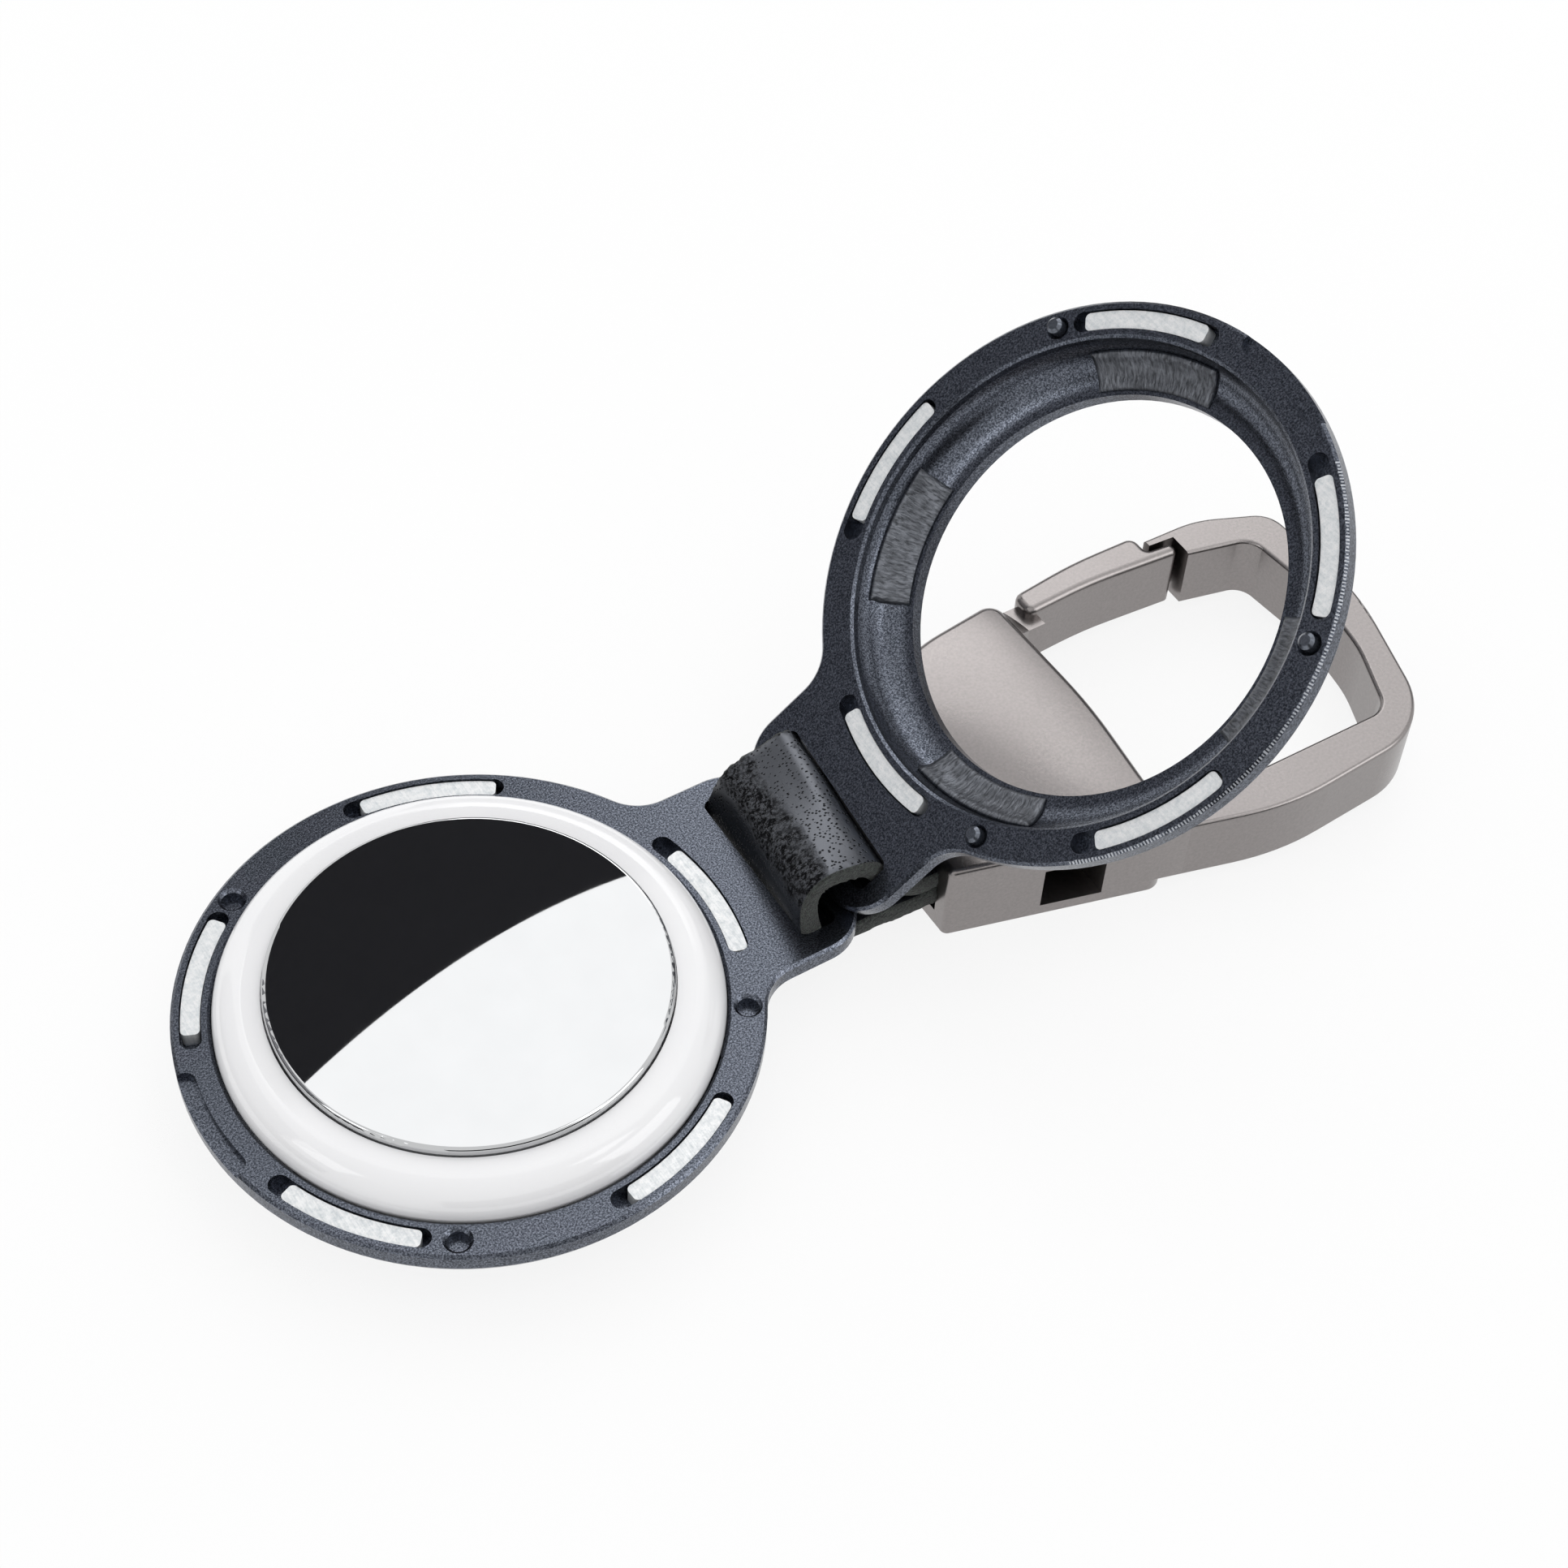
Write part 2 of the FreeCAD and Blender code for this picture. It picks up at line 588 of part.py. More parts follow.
make_tag()

# Snap hook, drawn from above: u runs from the strap end of its block, v across it
inner_u = size("block_length")
far_u = inner_u + size("loop_length")
half_end, half_wide = size("block_end_width") / 2, size("block_wide") / 2
spine_v, nose_v = size("loop_spine"), size("loop_nose")
spine, bar = size("spine_width"), size("bar_thickness")
lap_v = nose_v - bar / 4
nose_u = far_u - 0.448 * size("loop_length")
step_u = nose_u + size("gate_lap") + size("gate_gap")
pivot_u = inner_u - size("gate_pin_inset")
pivot_v = nose_v - bar / 2
slot_low = rest_z + (size("block_height") - size("tongue_height")) / 2 - size("tongue_clearance")


def at_block(points):
    """Plan corners moved from the block's strap end to the part's frame."""
    return [(block_x + u, v, radius) for u, v, radius in points]


def make_hook():
    body = new_body("hook_frame")
    lean = (half_wide - half_end) / (inner_u - bar / 2)
    back_u = inner_u * 0.4
    long = size("loop_length")
    bowed = outline(at_block([
        (back_u, -half_end - lean * back_u, 0),
        ((spine_v - half_end) / lean, -spine_v, 20.0),
        (far_u - 0.148 * long, -0.94 * spine_v, 6.2),
        (far_u + 0.1, -0.5, 20.0),
        (far_u - 0.03 * long, nose_v - 2.3, 2.2),
        (far_u - 0.255 * long, nose_v - 0.1, 8.0),
        (nose_u, nose_v, 0),
        (nose_u, lap_v, 0),
        (step_u, lap_v - 0.15, 0),
        (step_u, nose_v - 1.05 * bar, 0),
        (far_u - 1.4 * bar, nose_v - 1.5 * bar, 1.6),
        (far_u - 1.08 * bar, 0.5, 14.0),
        (far_u - 1.38 * bar, -0.36 * spine_v, 10.0),
        (far_u - 2.18 * bar, spine - spine_v, 1.7),
        (inner_u + 0.65 * spine, spine - spine_v + 0.15, 4.0),
        (inner_u - bar, bar - half_end, 0),
        (back_u, bar - half_end, 0),
    ]))
    plan = sketch(body, "hook_loop_plan", "XY_Plane", bowed, "<tag_rise> - <tag_thickness> + <loop_lift>")
    feature(body, "Pad", "hook_loop", plan, Length="<loop_height>")
    loop_top = loop_bottom + size("loop_height")
    lap = block_x + nose_u
    dress(body, "Fillet", "hook_loop_round",
          lambda e: (lies_at(e, loop_top) and e.BoundBox.XMax > block_x + inner_u
                     and not (e.BoundBox.XMin > lap - 0.01 and e.BoundBox.XMax < block_x + step_u + 0.01)),
          Radius="<loop_round>")

    far = half_wide - bar * 0.3
    block = outline(at_block([
        (0, -half_end, 0.5),
        (inner_u - bar / 2, -half_wide, 1.2),
        (inner_u + 0.1, 0.0, 40.0),
        (inner_u - 0.25, far + 0.1, 1.2),
        (inner_u * 0.62, far - 0.6, 12.0),
        (0, half_end, 0.5),
    ]))
    plan = sketch(body, "hook_block_plan", "XY_Plane", block, "<tag_rise> - <tag_thickness>")
    feature(body, "Pad", "hook_block", plan, Length="<block_height>")
    dress(body, "Fillet", "hook_block_round", lambda e: lies_at(e, block_top), Radius="<block_round>")

    half_mouth = size("strap_width") / 2 + size("strap_side_gap")
    end = block_x + size("mouth_depth")
    mouth = outline([(block_x - 1, -half_mouth, 0), (end, -half_mouth, 0), (end, half_mouth, 0),
                     (block_x - 1, half_mouth, 0)])
    middle = "<tag_rise> - <tag_thickness> + <block_height> / 2"
    plan = sketch(body, "hook_mouth_plan", "XY_Plane", mouth, middle)
    cut(body, "hook_mouth", plan, Midplane=True, Length="<mouth_height>")

    left = block_x + size("window_start")
    right = left + size("window_length")
    outside = -half_wide - 1
    window = outline([(left, outside, 0), (right, outside, 0), (right, outside + size("window_depth"), 0),
                      (left, outside + size("window_depth"), 0)])
    plan = sketch(body, "hook_window_plan", "XY_Plane", window, middle + " - <loop_lift> / 2")
    cut(body, "hook_window", plan, Midplane=True, Length="<window_height>")

    edge = block_x + pivot_u - size("lug_drop")
    gate_slot = outline([(edge, pivot_v - size("lug_drop") - bar / 2, 0),
                         (block_x + inner_u + 1, pivot_v - size("lug_drop") - bar / 2, 0),
                         (block_x + inner_u + 1, half_wide + 1, 0), (edge, half_wide + 1, 0)])
    plan = sketch(body, "hook_gate_slot_plan", "XY_Plane", gate_slot, middle)
    cut(body, "hook_gate_slot", plan, Midplane=True, Length="<tongue_height> + 2 * <tongue_clearance>")

    for name, u, v, diameter in (("gate_pin", pivot_u, pivot_v, "gate_pin_diameter"),
                                 ("strap_pin", size("strap_pin_inset"), 0.0, "strap_pin_diameter")):
        hole = [circle(block_x + u, v, size(diameter) / 2 + size("press_clearance"))]
        plan = sketch(body, "hook_" + name + "_plan", "XY_Plane", hole, "<tag_rise> - <tag_thickness>")
        cut(body, "hook_" + name + "_hole", plan, Reversed=True, Length="<block_height> - <pin_blind>")

    reach = size("spring_length") + size("glue_gap")
    radius = size("spring_diameter") / 2 + size("spring_clearance")
    bore = [circle(pivot_v - size("lug_drop") + radius, mouth_mid, radius)]
    plan = sketch(body, "hook_spring_plan", "YZ_Plane", bore)
    plan.AttachmentOffset = Placement(Vector(0, 0, spring_end - reach), Rotation())
    cut(body, "hook_spring_bore", plan, Reversed=True, Length=edge - spring_end + reach + 0.1)
    return body


spring_end = block_x + pivot_u - size("lug_width") - size("glue_gap")


def make_gate():
    body = new_body("gate")
    width, gap = size("gate_width"), size("gate_gap")
    hinge_u = inner_u + gap * 3.5
    outer_v = nose_v + width * 0.35
    inner_v = outer_v - width
    shoulder_u = nose_u - gap
    tip_u = step_u - gap
    tip_v = lap_v - gap / 2
    bow_u = hinge_u + (shoulder_u - hinge_u) * 0.5
    bow = 3 * (shoulder_u - hinge_u)
    shape = outline(at_block([
        (hinge_u, inner_v - 0.15, 0.7),
        (bow_u, inner_v + 0.1, bow),
        (tip_u, inner_v - 0.5, 0.5),
        (tip_u, tip_v - 0.2, 0.3),
        (shoulder_u, tip_v, 0.3),
        (shoulder_u, outer_v, 0.8),
        (bow_u, outer_v + 0.1, bow),
        (hinge_u, outer_v - 0.5, 0.8),
    ]))
    plan = sketch(body, "gate_plan", "XY_Plane", shape, "<tag_rise> - <tag_thickness> + <loop_lift>")
    feature(body, "Pad", "gate_bar", plan, Length="<loop_height>")
    top = loop_bottom + size("loop_height")
    dress(body, "Fillet", "gate_round", lambda e: lies_at(e, top) and e.BoundBox.XMax < block_x + shoulder_u - 0.3,
          Radius="<gate_round>")

    eye = width / 2 - 0.05
    shape = outline(at_block([
        (hinge_u + 1, pivot_v - eye, 0),
        (hinge_u + 1, pivot_v + eye, 0),
        (pivot_u - eye, pivot_v + eye, eye * 0.98),
        (pivot_u - size("lug_width"), pivot_v - eye / 2, 0),
        (pivot_u - size("lug_width"), pivot_v - size("lug_drop"), 0.2),
        (pivot_u, pivot_v - size("lug_drop"), 0.2),
        (pivot_u, pivot_v - eye, 0.3),
    ]))
    middle = "<tag_rise> - <tag_thickness> + <block_height> / 2"
    plan = sketch(body, "gate_tongue_plan", "XY_Plane", shape, middle)
    feature(body, "Pad", "gate_tongue", plan, Midplane=True, Length="<tongue_height>")
    hole = [circle(block_x + pivot_u, pivot_v, size("gate_pin_diameter") / 2 + size("pivot_clearance"))]
    plan = sketch(body, "gate_eye_plan", "XY_Plane", hole, middle)
    cut(body, "gate_eye", plan, Midplane=True, Length="2 * <tongue_height>")
    return body


make_hook()
make_gate()

for label, u, v, diameter in (("gate_pin", pivot_u, pivot_v, "<gate_pin_diameter>"),
                              ("strap_pin", size("strap_pin_inset"), 0.0, "<strap_pin_diameter>")):
    rod = doc.addObject("Part::Cylinder", label)
    rod.Label = label
    bind(rod, "Radius", diameter + " / 2")
    bind(rod, "Height", "<block_height> - <pin_blind>")
    rod.Placement = Placement(Vector(block_x + u, v, rest_z), Rotation())
    PLACED.append(rod)


def make_spring():
    """The gate's compression spring, from the end of its bore to the gate's lug."""
    wire, length = size("spring_wire"), size("spring_length")
    radius = (size("spring_diameter") - wire) / 2
    body = new_body("gate_spring")
    section = sketch(body, "gate_spring_section", "XZ_Plane", [circle(radius, 0, wire / 2)])
    feature(body, "AdditiveHelix", "gate_spring_coil", section, ReferenceAxis=(section, ["V_Axis"]),
            Mode="pitch-height-angle", Pitch="(<spring_length> - <spring_wire>) / <spring_turns>",
            Height="<spring_length> - <spring_wire>")
    bore_v = pivot_v - size("lug_drop") + size("spring_diameter") / 2 + size("spring_clearance")
    start = Vector(spring_end - length + wire / 2, bore_v, mouth_mid)
    body.Placement = Placement(start, Rotation(Vector(0, 1, 0), 90))


make_spring()


def make_strap():
    """One leather strap: round both end bars and back into the hook's mouth, its ends on a pin."""
    thickness, gap = size("strap_thickness"), size("strap_gap")
    half = thickness / 2
    rise_x = slot_start + gap + half
    under_z = -plate - gap - half
    slot_run = hinge_x - (slot_start + slot_end) / 2
    tilt = math.radians(180 - size("open_angle"))
    slot_mid = (hinge_x + slot_run * math.cos(tilt), hinge_z + slot_run * math.sin(tilt))
    slide = math.tan(tilt)
    crown = size("strap_crown")
    upper_z, lower_z = mouth_mid + half + gap / 4, mouth_mid - half - gap / 4
    inside = block_x + size("mouth_depth") - gap
    route = [
        (inside, lower_z, 0),
        (block_x - size("strap_reach") * 0.3, lower_z, 5.0),
        (tab_end + size("strap_reach") * 0.15, under_z, 5.0),
        (rise_x, under_z, half + 0.5),
        (rise_x, crown, half + 0.85),
        (slot_mid[0] - (crown - slot_mid[1]) * slide, crown, half + 0.75),
        (slot_mid[0] + (slot_mid[1] - upper_z) * slide, upper_z, half + 1.6),
        (inside, upper_z, 0),
    ]
    edges = [edge.toShape() for edge in ribbon(route, thickness)]
    face = Part.Face(Part.Wire(Part.__sortEdges__(edges)))
    band = face.extrude(Vector(0, 0, size("strap_width")))
    turn = Placement(Vector(0, size("strap_width") / 2, 0), Rotation(Vector(1, 0, 0), 90))
    band.Placement = turn
    hole = Part.makeCylinder(size("strap_pin_diameter") / 2 + size("pivot_clearance"), size("block_height"),
                             Vector(block_x + size("strap_pin_inset"), 0, rest_z))
    strap = doc.addObject("Part::Feature", "strap")
    strap.Label = "strap"
    strap.Shape = band.cut(hole)
    PLACED.append(strap)


make_strap()

doc.recompute()
failed = [o.Name for o in doc.Objects if {"Invalid", "Error"} & set(o.State)]
if failed:
    raise ValueError("failed objects: " + ", ".join(failed))
for piece in PLACED:
    if piece.Shape.isNull() or not piece.Shape.isValid() or not piece.Shape.Solids:
        raise ValueError("bad shape: " + piece.Label)

os.makedirs("parts", exist_ok=True)
for piece in PLACED:
    piece.Shape.exportStep(f"parts/{piece.Label}.step")
    box = piece.Shape.BoundBox
    print(f"{piece.Label}: {len(piece.Shape.Solids)} solid, {piece.Shape.Volume:.2f} mm3, "
          f"x {box.XMin:.2f} to {box.XMax:.2f}, y {box.YMin:.2f} to {box.YMax:.2f}, "
          f"z {box.ZMin:.2f} to {box.ZMax:.2f}")
print("hinge", [round(c, 3) for c in hinge_point], "axis", [round(c, 4) for c in hinge_axis])
print("cover centre", [round(c, 2) for c in cover_pose.multVec(Vector())])
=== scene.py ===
# %% [markdown]
# A tracker tag holder: two black rings on a leather loop close over a round tag, and a snap
# hook carries them. The solids come packed from CAD as a fixed frame in metres. This lesson
# adds what the eye needs: the camera, the light, a finish for every surface, and the leather.

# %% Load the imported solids
import bpy
import math
import numpy
from mathutils import Matrix, Vector, noise


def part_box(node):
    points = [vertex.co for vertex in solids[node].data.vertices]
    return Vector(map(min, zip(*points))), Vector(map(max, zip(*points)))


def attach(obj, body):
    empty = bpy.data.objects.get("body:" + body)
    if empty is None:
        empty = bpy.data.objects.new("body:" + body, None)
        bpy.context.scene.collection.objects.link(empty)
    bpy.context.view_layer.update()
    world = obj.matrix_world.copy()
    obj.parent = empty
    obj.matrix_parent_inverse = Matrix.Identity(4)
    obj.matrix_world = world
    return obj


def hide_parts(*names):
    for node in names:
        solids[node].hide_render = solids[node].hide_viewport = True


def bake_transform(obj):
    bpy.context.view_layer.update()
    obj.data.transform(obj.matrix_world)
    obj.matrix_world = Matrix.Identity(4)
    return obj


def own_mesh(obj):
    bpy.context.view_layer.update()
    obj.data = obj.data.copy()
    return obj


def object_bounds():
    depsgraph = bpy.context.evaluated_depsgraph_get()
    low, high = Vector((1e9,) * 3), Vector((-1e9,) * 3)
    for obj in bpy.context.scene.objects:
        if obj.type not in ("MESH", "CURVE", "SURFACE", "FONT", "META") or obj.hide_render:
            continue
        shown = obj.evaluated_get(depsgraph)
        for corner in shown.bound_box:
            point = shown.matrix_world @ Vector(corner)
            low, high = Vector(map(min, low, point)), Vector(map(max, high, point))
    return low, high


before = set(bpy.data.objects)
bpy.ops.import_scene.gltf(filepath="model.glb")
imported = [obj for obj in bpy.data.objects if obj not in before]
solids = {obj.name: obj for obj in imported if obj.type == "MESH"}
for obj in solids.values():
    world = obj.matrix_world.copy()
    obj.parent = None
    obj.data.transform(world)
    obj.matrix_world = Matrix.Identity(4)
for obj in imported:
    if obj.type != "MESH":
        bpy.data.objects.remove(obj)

cad_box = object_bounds()
MM = 0.001
print("solids:", len(solids), "CAD box in mm:",
      [[round(v / MM, 1) for v in corner] for corner in cad_box])

# %% [markdown]
# The camera stands where the photograph was taken from. Its place and turn came from fitting
# the circles of the rings, so it is written down as a point and three directions. A matrix
# made of those is surer than three angles, because nothing depends on their order.

# %% Camera
EYE = Vector((-49.8299, -101.9147, 157.1875)) * MM
RIGHT = Vector((0.844143, -0.534211, 0.045175))
UP = Vector((0.38653, 0.664837, 0.639207))
BACK = Vector((-0.371506, -0.522121, 0.767706))
LENS, SENSOR, PHOTO_SIDE, NEAREST = 71.0, 36.0, 1932, 10 * MM

camera_data = bpy.data.cameras.new("photo_camera")
camera_data.lens = LENS
camera_data.sensor_width = SENSOR
camera_data.clip_start = NEAREST
camera = bpy.data.objects.new("photo_camera", camera_data)
bpy.context.scene.collection.objects.link(camera)
camera.matrix_world = Matrix.Translation(EYE) @ Matrix((RIGHT, UP, BACK)).transposed().to_4x4()
bpy.context.scene.camera = camera
bpy.context.scene.view_settings.view_transform = "Standard"
print("camera stands", round(EYE.length / MM), "mm from the tag")

# %% [markdown]
# Every finish below is a small net of nodes. One helper adds a node, sets it and links it, so
# each net reads as a list. Colours are written as sRGB hex, as a colour picker shows them, and
# turned to the linear values that Blender works in.

# %% Helpers for nodes
def linear(hex_colour):
    """The linear colour of an sRGB hex value."""
    parts = [int(hex_colour[i:i + 2], 16) / 255 for i in (1, 3, 5)]
    return tuple(p / 12.92 if p <= 0.04045 else ((p + 0.055) / 1.055) ** 2.4
                 for p in parts) + (1.0,)


def dress(node, inputs):
    """Sets or links inputs of a node, by their names or numbers."""
    for name, value in inputs.items():
        if isinstance(value, bpy.types.NodeSocket):
            node.id_data.links.new(value, node.inputs[name])
        else:
            node.inputs[name].default_value = value


def add(tree, kind, inputs=None, **settings):
    """Adds a node, sets its options, and sets or links its inputs."""
    node = tree.nodes.new(kind)
    for name, value in settings.items():
        setattr(node, name, value)
    dress(node, inputs or {})
    return node


def new_finish(name):
    """An empty material with its shader: returns the material, its tree and the shader."""
    material = bpy.data.materials.new(name)
    material.use_nodes = True
    tree = material.node_tree
    tree.nodes.clear()
    shader = add(tree, "ShaderNodeBsdfPrincipled")
    add(tree, "ShaderNodeOutputMaterial", {"Surface": shader.outputs[0]})
    return material, tree, shader


print("mid grey is", round(linear("#808080")[0], 3), "in linear light")

# %% [markdown]
# Real surfaces are never one flat colour, so most finishes follow one plan: a noise, spread to a
# wider range, moves between two close colours, changes the roughness and lifts small bumps. The
# pattern's place is read on the piece itself, so it moves with the piece. Sizes of details are
# written in millimetres.

# %% Helpers for patterns
METRE = 1000.0  # in mm: a detail of this size leaves a direction as it is


def per_metre(size_mm):
    """The texture scale at which one detail is size_mm wide."""
    return METRE / size_mm


def on_piece(tree):
    """The place on the piece, in metres."""
    return add(tree, "ShaderNodeTexCoord").outputs["Object"]


def kept(tree, name, output):
    """A value that a mesh keeps at each of its points."""
    return add(tree, "ShaderNodeAttribute", attribute_name=name).outputs[output]


def stretched(tree, where, sizes_mm, **inputs):
    """A place scaled so that one detail has these sizes along the three directions."""
    scale = tuple(per_metre(size) for size in sizes_mm)
    return add(tree, "ShaderNodeMapping", {"Vector": where, "Scale": scale, **inputs}).outputs[0]


def noise_of(tree, where, size_mm=METRE, **inputs):
    """A soft noise with details of about size_mm. A stretched place needs no size."""
    return add(tree, "ShaderNodeTexNoise",
               {"Vector": where, "Scale": per_metre(size_mm), **inputs}).outputs[0]


def remap(tree, value, low=0.0, high=1.0, to_low=0.0, to_high=1.0):
    """Carries the range from low to high over to another range, and stops at its ends."""
    return add(tree, "ShaderNodeMapRange",
               {0: value, 1: low, 2: high, 3: to_low, 4: to_high}).outputs[0]


def mixed(tree, share, first, second):
    """A value that goes from first to second as share goes from 0 to 1."""
    return add(tree, "ShaderNodeMix", {0: share, 2: first, 3: second}, data_type="FLOAT").outputs[0]


def tinted(tree, share, first, second):
    """A colour that goes from one hex value to another as share goes from 0 to 1."""
    return add(tree, "ShaderNodeMix", {0: share, 6: linear(first), 7: linear(second)},
               data_type="RGBA").outputs[2]


def sum_of(tree, operation, *values, **settings):
    """The result of one step of arithmetic."""
    return add(tree, "ShaderNodeMath", dict(enumerate(values)), operation=operation,
               **settings).outputs[0]


def bumps(tree, height, strength, deep, **inputs):
    """The way that a surface faces when height lifts it by up to deep, in metres."""
    return add(tree, "ShaderNodeBump",
               {"Height": height, "Strength": strength, "Distance": deep, **inputs}).outputs[0]


print("0.2 mm detail has scale", per_metre(0.2))

# %% [markdown]
# The photograph was taken on white. A pale floor under the hook catches the soft shadow. Most of
# its white is the white world, seen through it: so the hook still shows when it hangs down past
# the floor, as it does when the holder is carried.

# %% Floor
FLOOR_GAP, FLOOR_HALF = 0.02 * MM, 2.0
SQUARE = ((-1, -1), (1, -1), (1, 1), (-1, 1))
GLOW = 0.86  # share of plain white in the floor as it is seen; the rest keeps the shadow
WHITE = (1, 1, 1, 1)


def seen_by_eye(tree):
    """1 for a ray that shows the background: from the camera, off gloss or through glass."""
    ray = add(tree, "ShaderNodeLightPath").outputs
    seen = sum_of(tree, "ADD", ray["Is Camera Ray"], ray["Is Glossy Ray"])
    return sum_of(tree, "ADD", seen, ray["Is Transmission Ray"], use_clamp=True)


floor_z = cad_box[0][2] - FLOOR_GAP
floor_mesh = bpy.data.meshes.new("floor")
floor_mesh.from_pydata([(x * FLOOR_HALF, y * FLOOR_HALF, floor_z) for x, y in SQUARE],
                       [], [(0, 1, 2, 3)])
floor = bpy.data.objects.new("floor", floor_mesh)
bpy.context.scene.collection.objects.link(floor)
floor_paper, tree, shader = new_finish("matt_white_paper")
fibre = noise_of(tree, on_piece(tree), 40)
dress(shader, {"Base Color": tinted(tree, fibre, "#fbfbfb", "#fefefe"),
               "Roughness": 1.0, "Specular IOR Level": 0.0})
# plain: gloss sees white there, and the camera sees the white world through it
white = add(tree, "ShaderNodeEmission", {"Color": WHITE, "Strength": 1.0}).outputs[0]
clear = add(tree, "ShaderNodeBsdfTransparent").outputs[0]
eye_ray = add(tree, "ShaderNodeLightPath").outputs["Is Camera Ray"]
plain = add(tree, "ShaderNodeMixShader", {0: eye_ray, 1: white, 2: clear}).outputs[0]
# lit: most of what is seen is plain, and the rest is paper with the shadow on it
glow = sum_of(tree, "MULTIPLY", seen_by_eye(tree), GLOW)
lit = add(tree, "ShaderNodeMixShader", {0: glow, 1: shader.outputs[0], 2: plain}).outputs[0]
dress(tree.nodes["Material Output"], {"Surface": lit})
floor_mesh.materials.append(floor_paper)
print("floor at", round(floor_z / MM, 2), "mm")

# %% [markdown]
# The world is the white room. It is full white to the camera, to gloss and through glass. For
# plain lighting it is weaker, and the lamps do the rest, so that a colour looks about as it is
# written.

# %% World
WORLD_FILL = 0.8
world = bpy.data.worlds.new("white_studio")
bpy.context.scene.world = world
world.use_nodes = True
tree = world.node_tree
tree.nodes.clear()
level = remap(tree, seen_by_eye(tree), to_low=WORLD_FILL)
sky = add(tree, "ShaderNodeBackground", {"Color": WHITE, "Strength": level})
add(tree, "ShaderNodeOutputWorld", {"Surface": sky.outputs[0]})
print("world fill", WORLD_FILL)

# %% [markdown]
# Six square lamps stand round the holder, as soft boxes do in a studio. A lamp's level is what it
# adds to a white surface that faces it, so levels can be compared whatever a lamp's size. The
# two glints light nothing plain: only gloss sees them, where they draw bright edges.

# %% Lamps
LAMP_AIM, LAMP_AWAY = Vector((25, 0, 0)) * MM, 0.9
LAMPS = (  # name, direction from the holder, side in metres, level, whether only gloss sees it
    ("bank_overhead", (0.36, 0.46, 0.81), 0.72, 0.135, False),
    ("strip_back", (0.44, 0.62, 0.65), 0.3, 0.04, False),
    ("rim_right", (0.72, 0.62, 0.32), 0.34, 0.1, False),
    ("strip_front", (0.30, -0.30, 0.90), 0.2, 0.03, False),
    ("glint_left", (-0.76, 0.05, 0.62), 0.35, 0.08, True),
    ("glint_front", (0.55, -0.65, 0.50), 0.5, 0.2, True))


def soft_lamp(name, direction, side, level, gloss_only):
    """A square lamp that aims at the holder and adds level to a white surface that faces it."""
    data = bpy.data.lights.new(name, "AREA")
    data.shape = "SQUARE"
    data.size = side
    data.energy = level * math.pi * math.pi * LAMP_AWAY ** 2
    lamp = bpy.data.objects.new(name, data)
    bpy.context.scene.collection.objects.link(lamp)
    aim = Vector(direction).normalized()
    turn = aim.to_track_quat("Z", "Y").to_matrix().to_4x4()
    lamp.matrix_world = Matrix.Translation(LAMP_AIM + aim * LAMP_AWAY) @ turn
    lamp.visible_diffuse = not gloss_only
    print(name, "radiance", round(data.energy / (math.pi * side ** 2), 2))


for row in LAMPS:
    soft_lamp(*row)

# %% [markdown]
# The steel cap is a mirror. In the photograph its far half shows a black card that stood in the
# studio, and its near half the white room. A dark half painted on would slide when the camera
# moves, so the card itself stands here. The camera's ray is turned over at the cap's face to
# find where the card's edge must be. Only gloss sees it: it throws no shadow.

# %% Black card behind the cap
CAP_TOP = 2.6 * MM
CARD_AWAY, CARD_WIDE, BLACK = 0.30, 0.11, "#303033"
CARD_EDGE = ((300, 1410), (379, 1332), (437, 1280), (495, 1234), (558, 1187), (620, 1145),
             (700, 1108), (782, 1079), (880, 1050))  # photo pixels along the dark half's edge
CARD_MIDDLE, CARD_INSIDE = (559, 1198), (470, 1100)  # photo pixels on the edge and in the dark
EDGE_STEP, EDGE_POWER = 20, 3  # the edge is a cubic, so that it has no corners


def mirrored_ray(px, py):
    """Where the ray through a photo pixel meets the cap, and where it goes from there."""
    focal = LENS / SENSOR * PHOTO_SIDE
    ray = RIGHT * ((px - PHOTO_SIDE / 2) / focal) + UP * ((PHOTO_SIDE / 2 - py) / focal) - BACK
    hit = EYE + ray * ((CAP_TOP - EYE.z) / ray.z)
    return hit, Vector((ray.x, ray.y, -ray.z)).normalized()


card_aim = mirrored_ray(*CARD_MIDDLE)[1]
card_spot = Vector((0, 0, CAP_TOP)) + card_aim * CARD_AWAY


def on_card(px, py):
    """The point of the card's plane that a photo pixel shows in the cap."""
    start, way = mirrored_ray(px, py)
    return start + way * ((card_spot - start).dot(card_aim) / way.dot(card_aim))


def gloss_card(name, colour, corners):
    """A card that only gloss can see, so it darkens metal and throws no shadow."""
    mesh = bpy.data.meshes.new(name)
    mesh.from_pydata(corners, [], [tuple(range(len(corners)))])
    card_paper, tree, shader = new_finish("matt_paper_" + name)
    dress(shader, {"Base Color": linear(colour), "Roughness": 1.0, "Specular IOR Level": 0.0})
    mesh.materials.append(card_paper)
    card = bpy.data.objects.new(name, mesh)
    bpy.context.scene.collection.objects.link(card)
    card.visible_camera = card.visible_diffuse = card.visible_shadow = False
    card.visible_transmission = False


bow = numpy.polyfit(*zip(*CARD_EDGE), EDGE_POWER)
columns = range(CARD_EDGE[0][0], CARD_EDGE[-1][0] + 1, EDGE_STEP)
card_edge = [on_card(px, numpy.polyval(bow, px)) for px in columns]
into_card = (on_card(*CARD_INSIDE) - on_card(*CARD_MIDDLE)).normalized() * CARD_WIDE
gloss_card("black_card", BLACK, card_edge + [card_edge[-1] + into_card, card_edge[0] + into_card])
print("card edge in mm from", [round(v / MM) for v in card_edge[0]],
      "to", [round(v / MM) for v in card_edge[-1]])

